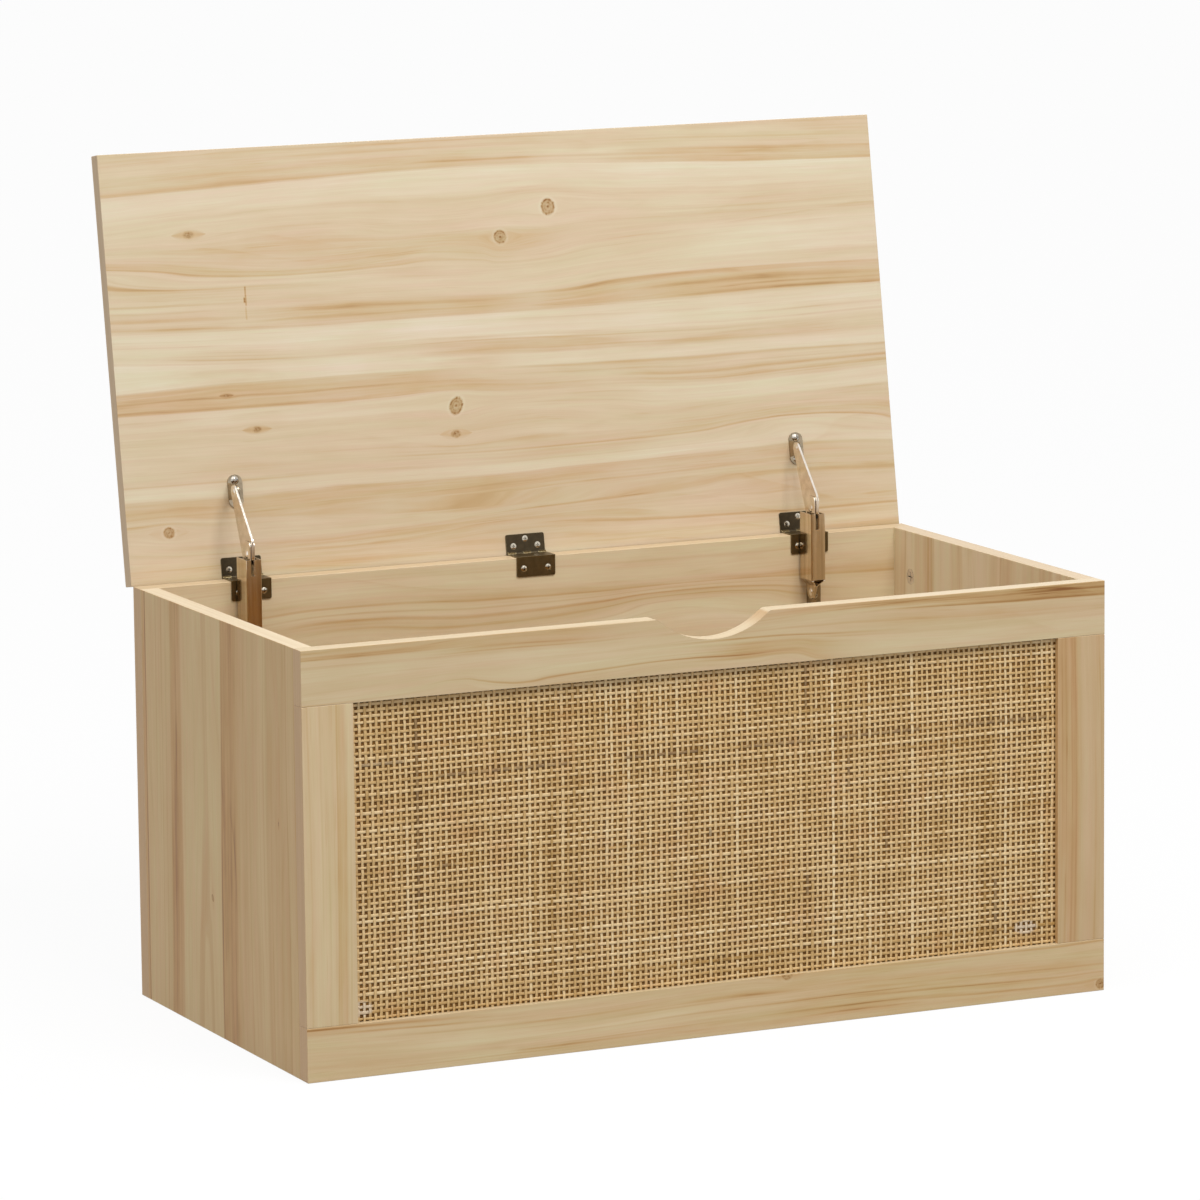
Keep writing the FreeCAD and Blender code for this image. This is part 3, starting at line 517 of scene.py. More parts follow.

# places are in millimetres along the grain (run) and across it (rise)
# guides: the rise of a grain line, ((run, how far it is lifted there), ...)
# bands: level below, level above, softness below, softness above, tone, start, stop
# lines: level, width, tone, start, stop; without a start and a stop both run through the board
# knots: run, rise, radius, oval, lean in degrees, wings
# joints: run, rise below, rise above, tone
# the whole-board tint is painted shade: it makes each board as dark and warm as the light on its face;
# edge and the end colour: its long edges and its ends, the end colour partly painted shade
boardPrints = {
    "lid_panel": {
        "grain": (1, 0, 0), "across": lidAcross, "origin": (0, hingeY, hingeZ), "seed": 3.0, "tone": 0.34,
        "ends": (-400, 400), "levels": (0, 400), "endColourWithShade": (206, 178, 142), "lineStrength": 0.72,
        "guides": [
            (10, ((-400, 0), (-150, 2), (0, -1), (400, 0))),
            (28, ((-400, -2), (-250, -9), (-100, -3), (0, 4), (160, -2), (400, -6))),
            (48, ((-400, -3), (-150, -8), (-60, -9), (0, -5), (50, -1), (100, 2), (200, 4.5), (300, 7),
                  (400, 7))),
            (60, ((-400, -4), (-260, -3), (-160, 0), (0, 5), (60, 9), (150, 11), (240, 13), (400, 11))),
            (92, ((-400, -1), (-100, 0), (0, -1), (240, 4), (300, 7), (400, 2))),
            (105, ((-400, 2), (-200, 0), (0, -3), (190, 1), (225, 6), (256, 11), (300, 15), (350, 11),
                   (400, 1))),
            (135, ((-400, 0), (-200, 1), (-60, 3), (0, 8), (90, 4), (180, -4), (300, -2), (400, 0))),
            (157, ((-400, 0), (-200, 0), (-100, 1), (0, -2), (100, -3), (200, -7), (280, -4), (400, 0))),
            (180, ((-400, -2), (-300, 1), (0, 0), (400, -2))),
            (205, ((-400, 8), (-300, 3), (-200, -1), (0, 1), (240, -2), (400, 0))),
            (232, ((-400, 2), (-240, -2), (0, 0), (200, 3), (400, 5))),
            (250, ((-400, 4), (-250, 1), (-100, 0), (0, -2), (60, 0), (120, 6), (200, 10), (400, 9))),
            (269, ((-400, 3), (-250, 0), (0, 0), (150, 8), (400, 10))),
            (285, ((-400, 14), (-360, 8), (-280, -3), (-200, -7), (-120, -2), (-60, 3), (-20, 1), (0, -4),
                   (100, 7), (200, 14), (400, 16))),
            (320, ((-400, -6), (-316, 0), (-200, 6), (-60, -3), (50, 3), (200, 0), (400, 3))),
            (362, ((-400, -3), (-300, -1), (-200, 3), (-100, 6.5), (0, 6), (160, 1), (400, -5))),
            (398, ((-400, 0), (0, 4), (400, -2)))],
        "knots": [
            (51.5, 326.8, 6.9, 0.95, 0, 0.0), (-0.5, 301, 6.0, 1.0, 0, 0.15),
            (-59.6, 144.4, 6.9, 1.16, 62, 0.0), (-62, 118, 4.3, 1.15, 0, 0.8), (-316, 320, 4.4, 1.2, 0, 1.0),
            (-263, 135.6, 3.8, 1.25, 0, 0.9), (-358.6, 46, 5.2, 1.03, 0, 0.35),
            (-291, 169, 1.9, 1.6, 0, 0.8)],
        "joints": [(-264, 251, 269, 0.4), (-265.5, 254, 259, 0.5), (-264.5, 238, 250, 0.22)],
        "bands": [
            (378, 402, 7, 1, 0.07), (363, 378, 1.5, 9, 0.12, -400, 90), (362, 376, 1.4, 6, 0.22, 120, 400),
            (339, 361.5, 10, 1.2, -0.19), (296, 309, 4, 7, 0.14, -40, 95), (314, 326, 5, 5, 0.12, 190, 400),
            (262, 297, 2, 12, -0.15, 170, 400), (272, 281, 2, 5, -0.12, -400, -120),
            (283, 312, 1.5, 9, 0.1, -400, 40), (276, 283, 3, 1.5, 0.07, -330, 60),
            (231, 250, 1.2, 7, 0.2, -250, 60), (232, 250.5, 1.2, 1.2, 0.23, 30, 400),
            (208, 230.5, 6, 1.2, -0.17), (192, 203.5, 4, 1, 0.13, -130, 110),
            (180, 199, 1.5, 6, -0.22, -400, -40), (179.5, 191, 1.5, 5, -0.19, -20, 400),
            (157, 179, 1.2, 3.0, 0.18, -400, -30), (157, 169, 3, 5, 0.12, -110, 130),
            (158, 170, 2, 3, 0.12, 90, 400), (141, 156.5, 7, 1.4, -0.12, -400, -70),
            (139, 156, 7, 2, -0.17, 110, 400), (104, 121, 3, 6, 0.16, 110, 400),
            (118, 128, 6, 2, 0.08, -60, 78), (80, 91, 1.5, 3, -0.13), (-2, 79.5, 1, 2, 0.1),
            (62, 78, 8, 2, 0.09, -400, 60), (34, 46, 3, 4, 0.08, -160, 30), (-2, 9, 1, 6, 0.1, 300, 400)],
        "lines": [
            (391, 1.4, 0.12, -400, 160), (384, 1.6, 0.12, -250, 400), (363.6, 2.4, 0.17, -400, -20),
            (369.5, 2.0, 0.3, -90, 190), (374, 1.8, 0.18, 120, 400), (363, 1.8, 0.16, 180, 400),
            (352, 1.2, 0.1, -200, 60), (333, 1.4, 0.12, 0, 230), (309, 1.6, 0.12, 60, 400),
            (283, 2.0, 0.26, -400, -10), (288, 1.3, 0.12, -330, -100), (281, 1.3, 0.12, -20, 220),
            (269.6, 1.1, 0.36, -400, -250), (270.8, 0.8, -0.2, -400, -250), (254.5, 1.8, 0.3, -400, -262),
            (248, 1.5, 0.22, -400, -268), (242, 2.4, 0.32, -400, -240), (235, 3.2, 0.34, -400, -265),
            (245, 3.0, 0.13, -230, 60), (238, 1.4, 0.16, -330, 40), (249, 3.0, 0.2, 0, 260),
            (241, 3.4, 0.24, 150, 400), (236.8, 1.2, 0.18, 200, 400), (233.4, 1.6, 0.24, 160, 400),
            (221, 1.0, 0.22, -400, -320), (215, 1.3, 0.2, -400, -290), (216.5, 1.3, 0.2, 180, 400),
            (211, 1.3, 0.2, 120, 400), (208, 1.0, 0.26, -335, -235), (204.6, 0.9, 0.24, -325, -205),
            (201, 1.0, 0.28, -350, -180), (198, 1.0, 0.2, -400, -220), (206.4, 1.1, -0.36, -70, 110),
            (204.7, 1.2, 0.26, -190, 260), (196, 1.4, 0.14, -60, 250), (178.5, 2.2, 0.28, -40, 400),
            (172.5, 1.4, 0.12, 0, 400), (168.5, 1.8, 0.24, -400, -90), (159.2, 2.2, 0.2, -400, -160),
            (167.5, 1.9, 0.32, 90, 400), (161.6, 1.7, 0.28, 130, 400), (155.5, 1.3, 0.16, 80, 400),
            (150, 1.2, 0.14, -20, 200), (140, 1.4, 0.18, 0, 210), (122, 1.2, 0.12, -220, 10),
            (113, 1.1, 0.12, -240, 40), (105, 1.8, 0.26, -150, 400), (100, 1.5, 0.16, 225, 340),
            (92, 1.3, 0.24, -400, -200), (91.5, 1.4, 0.16, -10, 240), (89.5, 1.0, 0.26, -240, -215),
            (78.5, 1.6, 0.14, -20, 240), (60, 2.2, 0.24, -280, 80), (60, 2.6, 0.14, 10, 300),
            (57, 2.0, 0.2, -400, -310), (48, 2.6, 0.34, -30, 400), (40, 2.0, 0.12, -110, 10),
            (28, 2.4, 0.22, -270, -70), (27, 2.4, 0.36, -10, 400), (15, 1.6, 0.14, -380, -200),
            (9, 3.0, 0.18, -240, 10), (10.5, 1.8, 0.24, 40, 110)],
    },
    "front_top_rail": {
        "grain": (1, 0, 0), "across": (0, 0, 1), "origin": (0, -0.2, 0.335), "seed": 21.0, "tone": 0.34,
        "ends": (-400, 400), "levels": (0, 50), "paintedShade": (244, 238, 224), "endColourWithShade": (203, 168, 124),
        "edge": (221, 203, 172),
        "guides": [
            (8, ((-400, -4), (-300, 1), (-280, 3), (-250, 7), (-230, 3), (-208, -1), (-187, -2.5), (-160, 0),
                 (-100, 3), (-40, 6), (30, 4), (70, 6), (110, -3), (200, -7), (400, -7))),
            (25, ((-400, -2), (-200, 1), (0, 0.7), (60, 0), (125, -2.5), (400, -4))),
            (38, ((-400, -1), (-270, -1), (-200, -1), (-120, -2), (0, 0), (150, 3), (260, 0.5), (400, -2))),
            (48, ((-400, -8), (-300, -4), (-250, -0.5), (-150, 0), (400, 0)))],
        "bands": [
            (43, 50.5, 2.5, 3, 0.3, -400, -230), (37, 50, 5, 1, 0.18, -290, -60),
            (21, 35, 4, 3, -0.07, -400, 30), (-1, 10, 1, 5, 0.1, -230, 60), (5, 10, 3, 3, 0.16, -210, -160),
            (37.6, 51, 1.2, 1, 0.34, 190, 400), (42, 51, 1.5, 1, 0.2, 60, 260),
            (27, 35, 2, 4, 0.12, 120, 400), (3, 21, 3, 5, 0.34, -40, 150), (11, 22, 6, 3, -0.1, 120, 400)],
        "lines": [
            (47.8, 2.0, 0.08, -400, -270), (41.5, 1.3, 0.12, -260, -80), (37.8, 1.3, 0.24, -275, -60),
            (7.5, 1.5, 0.46, -262, 60), (3.5, 1.2, 0.14, -400, -270), (12.5, 1.4, 0.12, -130, 20),
            (25, 1.5, 0.44, -30, 190), (22.8, 1.2, 0.2, 60, 200), (46, 1.3, 0.16, 65, 260),
            (38.4, 2.0, 0.2, 140, 400), (44.5, 1.6, 0.16, 180, 400), (30.5, 1.2, 0.14, 30, 300)],
    },
    "front_bottom_rail": {
        "grain": (1, 0, 0), "across": (0, 0, 1), "origin": (0, -0.2, 0.0), "seed": 33.0, "tone": 0.4,
        "ends": (-400, 400), "levels": (0, 50), "paintedShade": (251, 244, 226), "endColourWithShade": (200, 164, 120),
        "lineTone": 0.54, "wideTone": 0.44, "lineStrength": 1.4, "edge": (208, 186, 148),
        "guides": [
            (0, ((-400, 0), (0, 2), (400, -1))),
            (24, ((-400, 3), (-200, -3), (100, 2), (400, -2))),
            (48, ((-400, 2), (-300, 0), (-150, -3), (71, 3), (250, 0), (400, 1)))],
        "knots": [(71, 49.5, 5.4, 1.0, 0, 0.3), (396, 6.5, 4.6, 1.0, 0, 0.3)],
        "bands": [
            (-1, 51, 1, 1, -0.09, -400, -60), (-1, 51, 1, 1, 0.04, 60, 400), (40, 49, 3, 1, 0.1, -400, -210),
            (16, 30, 4, 4, -0.12, -330, 90), (4, 12, 3, 4, 0.1, -220, 60), (30, 48, 4, 3, 0.12, -60, 230),
            (8, 26, 4, 4, 0.06, 40, 400)],
        "lines": [
            (46, 2.2, 0.26, -400, -240), (41, 1.6, 0.26, -390, -200), (35, 1.6, 0.2, -360, -190),
            (9, 2.0, 0.26, -220, -60), (6, 1.2, 0.2, -330, -120), (12, 1.2, 0.16, -200, 40),
            (33, 2.4, 0.3, -30, 90), (30, 1.4, 0.18, -120, 60), (22, 1.4, 0.18, -120, 240),
            (7, 1.8, 0.17, 90, 190), (12, 1.2, 0.12, 60, 260), (36, 1.2, 0.16, -240, -60),
            (18, 1.6, 0.2, 130, 400), (10, 1.6, 0.16, 160, 400), (45, 1.4, 0.2, 150, 400),
            (26, 1.2, 0.14, 230, 400)],
    },
    "front_left_stile": {
        "grain": (0, 0, 1), "across": (1, 0, 0), "origin": (-0.4, -0.2, 0.049), "seed": 41.0, "tone": 0.36,
        "ends": (0, 286), "levels": (0, 50), "paintedShade": (252, 246, 231), "endColourWithShade": (200, 164, 120),
        "wander": 0.003, "lineTone": 0.32, "wideTone": 0.26,
        "guides": [
            (10, ((0, 0), (140, 1), (286, -1))),
            (32, ((0, -1.5), (80, 0), (200, 1), (286, 1)))],
        "bands": [(31.6, 40, 1, 8, 0.11), (2, 10, 3, 4, 0.06), (41, 50, 3, 1, -0.08)],
        "lines": [
            (32, 1.3, 0.16), (44, 1.4, 0.14, 0, 180), (6, 1.4, 0.12), (17, 1.2, 0.12, 60, 286),
            (24, 1.2, 0.1, 0, 160)],
    },
    "front_right_stile": {
        "grain": (0, 0, 1), "across": (1, 0, 0), "origin": (0.351, -0.2, 0.049), "seed": 52.0, "tone": 0.46,
        "ends": (0, 286), "levels": (0, 50), "paintedShade": (242, 230, 215), "wander": 0.003, "lineTone": 0.28,
        "wideTone": 0.24, "ringTone": 0.1, "endColourWithShade": (205, 166, 114),
        "guides": [
            (8, ((0, -1), (140, 1), (286, 0))),
            (38, ((0, 0), (150, 2), (286, -1)))],
        "bands": [(-1, 20, 1, 4, 0.1), (13, 20, 3, 5, 0.05), (24, 34, 5, 5, -0.06)],
        "lines": [
            (18, 1.5, 0.12), (14, 1.3, 0.08), (8, 1.2, 0.1), (4, 1.0, 0.1, 60, 286), (38, 1.6, 0.14, 0, 210),
            (44, 1.4, 0.12, 80, 286)],
    },
    "left_side": {
        "grain": (0, 0, 1), "across": (0, 1, 0), "origin": (-0.4, 0, 0), "seed": 63.0, "tone": 0.34,
        "ends": (0, 385), "levels": (-200, 200), "paintedShade": (246, 227, 190), "wander": 0.004, "wideTone": 0.2,
        "lineStrength": 1.1,
        "guides": [
            (-165, ((0, 1), (150, 0), (250, 2), (385, 0))),
            (-142, ((0, 4), (120, 2), (222, -1), (300, -4), (385, 3))),
            (-110, ((0, -3), (200, 1), (385, -4))),
            (-8, ((0, 4), (120, 3), (250, -1), (385, -5))),
            (20, ((0, -3), (60, -2), (140, 1), (240, 5), (385, 4))),
            (36, ((0, 26), (60, 20), (120, 10), (180, 2), (240, -4), (385, -4))),
            (88, ((0, 3), (200, 0), (385, -1))),
            (112, ((0, 8), (120, 3), (250, 0), (385, -3))),
            (174, ((0, 2), (200, 0), (385, -2)))],
        "knots": [(222, -142.8, 1.5, 1.5, 0, 0.8), (126, 16.8, 2.9, 1.2, 20, 0.3)],
        "bands": [
            (-166, -114, 2, 4, 0.1), (-114, -96, 4, 8, -0.12), (-78, -8, 30, 2, 0.1),
            (-44, -8, 24, 1.6, 0.26), (-6, 22, 1.6, 5, -0.17), (20, 36, 1.5, 1.5, 0.17, 0, 215),
            (26, 34, 4, 4, 0.08, 190, 385), (38, 86, 3, 2, -0.16), (88, 113, 3, 5, 0.27),
            (96, 110, 5, 5, 0.09, 0, 330), (124, 147, 2, 3, -0.08), (148, 173, 2, 2, -0.1),
            (174, 183, 1.5, 8, 0.22)],
        "lines": [
            (-184, 2.0, 0.14), (-165, 2.0, 0.22), (-126, 1.5, 0.16, 0, 300), (-109, 1.6, 0.22, 80, 385),
            (-101, 1.3, 0.14, 0, 330), (-76, 1.8, 0.22, 0, 240), (-62, 1.3, 0.1, 100, 385), (-9, 2.4, 0.14),
            (21, 2.0, 0.14, 150, 385), (93.5, 1.4, 0.18, 0, 150), (103, 2.6, 0.14, 60, 260),
            (110, 1.5, 0.16, 0, 140), (99, 1.5, 0.16, 180, 385), (124, 1.6, 0.2), (134, 1.8, 0.26),
            (140, 1.2, 0.14, 120, 385), (148.5, 2.0, 0.2, 120, 385), (174.5, 2.2, 0.34),
            (169, 1.2, 0.12, 0, 200)],
    },
    "right_side": {
        # the right side's pale tone is painted light: it stands in for the light inside the chest
        "grain": (0, 0, 1), "across": (0, 1, 0), "origin": (0.4, 0, 0), "seed": 71.0, "tone": 0.13,
        "ends": (0, 385), "levels": (-200, 200), "paintedShade": (255, 250, 240), "wander": 0.004, "lineTone": 0.3,
        "edge": (214, 192, 160),
        "guides": [
            (-150, ((0, 3), (200, 0), (385, -2))),
            (-60, ((0, -4), (120, 6), (260, 8), (385, 0))),
            (60, ((0, 6), (200, -3), (385, 2))),
            (150, ((0, 0), (220, 3), (385, -2)))],
        "knots": [(255, -96, 5.0, 1.1, 0, 0.4), (96, 66, 4.2, 1.3, 0, 0.9)],
        "bands": [
            (92, 110, 1.5, 9, 0.28), (58, 88, 8, 2, -0.14), (-22, 30, 12, 3, -0.14), (-70, -44, 14, 2, 0.24),
            (-142, -118, 4, 10, 0.14), (128, 146, 5, 2, -0.1)],
        "lines": [
            (101, 2.0, 0.28), (148, 2.2, 0.3), (-45, 2.0, 0.22), (-120, 1.6, 0.2), (36, 1.6, 0.2),
            (12, 1.4, 0.14, 60, 385), (-84, 1.6, 0.16, 0, 300), (-156, 1.8, 0.2), (122, 1.4, 0.18, 0, 260),
            (168, 1.4, 0.16)],
    },
    # the back panel's pale tone is painted light for the inside of the chest
    "back_panel": {
        "grain": (1, 0, 0), "across": (0, 0, 1), "origin": (0, 0.182, 0.0), "seed": 82.0, "tone": 0.26,
        "ends": (-400, 400), "levels": (0, 385), "paintedShade": (255, 252, 242), "endColourWithShade": (200, 164, 120),
        "edge": (210, 187, 152),
        "guides": [
            (40, ((-400, 0), (-180, 14), (60, -4), (400, 2))),
            (110, ((-400, -6), (-180, 18), (0, 0), (200, 8), (400, 0))),
            (200, ((-400, 4), (-250, -6), (60, 22), (260, 0), (400, 4))),
            (290, ((-400, 6), (-200, -4), (0, 6), (200, 12), (400, 0))),
            (330, ((-400, 2), (-320, 0), (-200, 8), (-60, 2), (60, 8), (160, 22), (230, 16), (300, 2),
                   (400, -4))),
            (352, ((-400, -5), (-300, 2), (-200, 7), (-60, 4), (100, 0), (400, 2))),
            (385, ((-400, 0), (400, 0)))],
        "knots": [
            (-250, 262, 6.0, 1.1, 0, 0.3), (190, 150, 6.4, 0.95, 20, 0.0), (-40, 62, 4.2, 1.3, 0, 0.9)],
        "bands": [
            (343, 352, 1.5, 6, 0.14), (318, 332, 6, 2, 0.16, -310, 330), (292, 312, 8, 6, -0.14),
            (252, 270, 3, 8, 0.2), (196, 224, 8, 4, -0.15), (136, 152, 2, 8, 0.22, -400, 160),
            (60, 92, 10, 2, -0.12), (28, 50, 3, 10, 0.14), (356, 383, 8, 2, -0.05, -300, 400)],
        "lines": [
            (372, 1.6, 0.12), (344, 2.0, 0.2), (337, 1.6, 0.18, -330, 300), (330, 2.2, 0.24, -260, 340),
            (322, 1.8, 0.18, -200, 320), (312, 1.6, 0.16, -400, 220), (270, 2.0, 0.2), (252, 2.4, 0.26),
            (224, 1.6, 0.18, -160, 400), (180, 1.8, 0.2, -400, 300), (136, 2.2, 0.28, -400, 200),
            (112, 1.8, 0.2, -60, 400), (92, 1.8, 0.26), (28, 2.2, 0.22), (12, 1.6, 0.14, -300, 400)],
    },
    "bottom_panel": {
        "grain": (1, 0, 0), "across": (0, 1, 0), "origin": (0, 0, 0), "seed": 95.0, "tone": 0.38,
        "ends": (-382, 382), "levels": (-182, 182), "paintedShade": (255, 249, 236),
        "guides": [
            (-150, ((-382, 0), (0, 8), (382, -4))),
            (-60, ((-382, 4), (150, 22), (382, 0))),
            (40, ((-382, 0), (-100, 24), (382, 4))),
            (140, ((-382, 2), (100, -6), (382, 2)))],
        "knots": [(-210, 92, 6.0, 1.1, 0, 0.2), (120, 20, 5.0, 1.2, 0, 0.8), (260, -122, 6.0, 1.0, 0, 0.0)],
        "bands": [
            (112, 130, 2, 10, 0.2), (50, 80, 8, 2, -0.15), (-34, -14, 10, 2, 0.22), (-90, -60, 6, 6, -0.12),
            (-152, -130, 3, 10, 0.16)],
        "lines": [
            (113, 2.2, 0.26), (-15, 2.2, 0.26), (-100, 1.8, 0.26), (84, 1.6, 0.18, -382, 200),
            (30, 1.6, 0.18, -200, 382), (-52, 1.6, 0.16), (160, 1.6, 0.14)],
    },
}

for node, recipe in boardPrints.items():
    finishWith(nodes[node], woodPrint(node + "_firPrint", recipe))
print("boards printed:", len(boardPrints))


# woven cane in the front frame

caneWeave = {
    "pitch": 5.4, "strandWidth": 2.75, "strandThick": 0.5, "lift": 0.31, "jitter": 0.28, "wave": 0.9,
    "seed": 14, "widthRange": (0.84, 1.1), "widthSwing": 0.1, "toneSpread": (0.52, 0.08), "toneSwing": 0.1,
    "brightTone": 0.22, "darkTone": 0.1, "jointTone": 0.42, "jointSpread": 0.34,
    # half the length of a crossing, and what stays free at the ends and sides, in millimetres
    "crossing": 1.15, "endGap": 0.3, "sideGap": 0.2,
    # through how many random heights the slow changes along a strand run
    "sways": 4, "rowKnots": 5, "columnKnots": 3, "toneKnots": 6, "widthKnots": 11,
    # brighter and darker strands, in millimetres on the panel
    "brightRows": (280, 196, 140, 97, 85), "brightColumns": (-50, -98, 24, 205, -180, 300, 119),
    "darkColumns": (-288, -73, 92, 98), "darkRows": (264.5,),
    # dark joints of the rattan: the place of the strand, then where they start and stop
    "jointRows": ((264.5, -270, -140), (264.5, -85, -12), (264.5, 25, 100), (264.5, 125, 212),
                  (264.5, 250, 345), (182, -272, -254), (279, -345, -300), (338, -60, -38)),
    "jointColumns": ((139, 210, 245), (178, 153, 175), (97, 120, 142), (290, 60, 118), (-288, 150, 320),
                     (-3, 180, 188), (-50, 282, 288), (92, 290, 330)),
}

# a strand's section, flatter at the back: shares of its half width and half thickness
strandSection = ((-1.0, 0.0), (-0.62, -0.92), (0.0, -1.0), (0.62, -0.92), (1.0, 0.0), (0.0, 0.9))


def smoothNoise(rng, count, knots):
    # a slow random curve through a few random heights
    heights = [rng.uniform(-1, 1) for _ in range(knots + 3)]
    values = []
    for index in range(count):
        position = index / max(count - 1, 1) * knots
        base = int(position)
        share = position - base
        share = share * share * (3 - 2 * share)
        values.append(heights[base] * (1 - share) + heights[base + 1] * share)
    return values


def weaveCane(name, settings):
    low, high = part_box("cane_panel")
    pitch = settings["pitch"] * mm
    halfWidth = settings["strandWidth"] * mm / 2
    halfThick = settings["strandThick"] * mm / 2
    markReach = settings["pitch"] / 2
    middleY = (low[1] + high[1]) / 2
    # along each axis of the panel: how many strands cross it, and where the first one lies
    counts = {axis: int((high[axis] - low[axis]) / pitch) for axis in (0, 2)}
    starts = {axis: (low[axis] + high[axis]) / 2 - (counts[axis] - 1) * pitch / 2 for axis in (0, 2)}
    rng = random.Random(settings["seed"])
    # strands sway together: each follows a blend of the two nearest of these waves
    sways = settings["sways"]
    rowWave = [smoothNoise(rng, counts[0], settings["rowKnots"]) for _ in range(sways)]
    columnWave = [smoothNoise(rng, counts[2], settings["columnKnots"]) for _ in range(sways)]
    vertices, faces, tones, joints, turns = [], [], [], [], []

    def isNear(value, places):
        return any(abs(value - place) < markReach for place in places)

    def strand(index, lengthwise):
        runAxis, sideAxis = (0, 2) if lengthwise else (2, 0)
        kind = "Rows" if lengthwise else "Columns"
        count = counts[runAxis]
        centre = starts[sideAxis] + index * pitch
        shift = rng.uniform(-1, 1) * settings["jitter"] * mm
        widthShare = rng.uniform(*settings["widthRange"])
        tone = rng.gauss(*settings["toneSpread"])
        slow = smoothNoise(rng, count, settings["toneKnots"])
        widths = smoothNoise(rng, count, settings["widthKnots"])
        place = centre / mm
        if isNear(place, settings["bright" + kind]):
            tone += settings["brightTone"]
        if isNear(place, settings["dark" + kind]):
            tone -= settings["darkTone"]
        waves = rowWave if lengthwise else columnWave
        waveShare = index / max(counts[sideAxis] - 1, 1) * (sways - 1)
        waveLow = min(int(waveShare), sways - 2)
        waveShare -= waveLow
        rings = []
        for crossing in range(count):
            over = -1 if (crossing + index + (0 if lengthwise else 1)) % 2 == 0 else 1
            y = middleY + over * settings["lift"] * mm
            bend = waves[waveLow][crossing] * (1 - waveShare) + waves[waveLow + 1][crossing] * waveShare
            side = centre + shift + bend * settings["wave"] * mm
            half = halfWidth * widthShare * (1 + settings["widthSwing"] * widths[crossing])
            at = starts[runAxis] + crossing * pitch
            ringTone = tone + settings["toneSwing"] * slow[crossing]
            joint = 0.0
            for markPlace, markLow, markHigh in settings["joint" + kind]:
                if isNear(place, (markPlace,)) and markLow < at / mm < markHigh:
                    joint = settings["jointTone"] + settings["jointSpread"] * rng.random()
            for step in (-1, 1):
                spot = at + step * settings["crossing"] * mm
                if crossing == 0 and step == -1:
                    spot = low[runAxis] + settings["endGap"] * mm
                if crossing == count - 1 and step == 1:
                    spot = high[runAxis] - settings["endGap"] * mm
                rings.append((spot, side, y, half, ringTone, joint))
        base = len(vertices)
        sideLow = low[sideAxis] + settings["sideGap"] * mm
        sideHigh = high[sideAxis] - settings["sideGap"] * mm
        for spot, side, y, half, ringTone, joint in rings:
            for acrossShare, outShare in strandSection:
                sideways = min(max(side + acrossShare * half, sideLow), sideHigh)
                outward = y + outShare * halfThick
                vertices.append((spot, outward, sideways) if lengthwise else (sideways, outward, spot))
                tones.append(ringTone)
                joints.append(joint)
        size = len(strandSection)
        for ring in range(len(rings) - 1):
            for corner in range(size):
                first = base + ring * size + corner
                second = base + ring * size + (corner + 1) % size
                quad = (first, second, second + size, first + size)
                faces.append(quad if lengthwise else quad[::-1])
        for ring, flip in ((0, False), (len(rings) - 1, True)):
            cap = [base + ring * size + corner for corner in range(size)]
            faces.append(tuple(cap if flip == lengthwise else cap[::-1]))
        turns.extend([0 if lengthwise else 1] * (len(faces) - len(turns)))

    for index in range(counts[2]):
        strand(index, True)
    for index in range(counts[0]):
        strand(index, False)
    mesh = smoothMesh(name, vertices, faces)
    for attribute, values in (("strandTone", tones), ("strandJoint", joints)):
        mesh.attributes.new(attribute, "FLOAT", "POINT").data.foreach_set("value", values)
    mesh.polygons.foreach_set("material_index", turns)
    mesh.update()
    return addPiece(name, mesh)


# the finish of the strands: waves per metre along and across a strand, ranges as in printRules
caneFinish = {
    "fibreWaves": (60.0, 2600.0), "mottleWaves": (130.0, 330.0), "patchWaves": 22.0, "warmWaves": 34.0,
    "fibreTone": 0.5, "mottleTone": 0.3, "patchTone": 0.35,
    # colours as they are read off a screen, with the tone at which each stands
    "ramp": ((0.0, (92, 62, 34)), (0.2, (172, 132, 68)), (0.52, (218, 183, 127)), (0.95, (245, 221, 176))),
    "warm": (202, 150, 98), "warmPatches": (0.55, 0.75, 0.0, 0.3),
    "joint": (92, 62, 34), "jointMottles": (0.25, 0.6, 0.45, 1.0),
    "glue": (236, 224, 206), "glueFilm": (0.9, 1.5, 0.5, 0.0), "glueMottles": 0.8,
    # whitish films of glue: place along and up, reach along and up, in millimetres
    "glueDabs": ((-345, 60, 11, 8), (320, 67, 13, 7)),
    "roughness": 0.42, "bump": 0.35, "bumpDepth": 0.2,
}


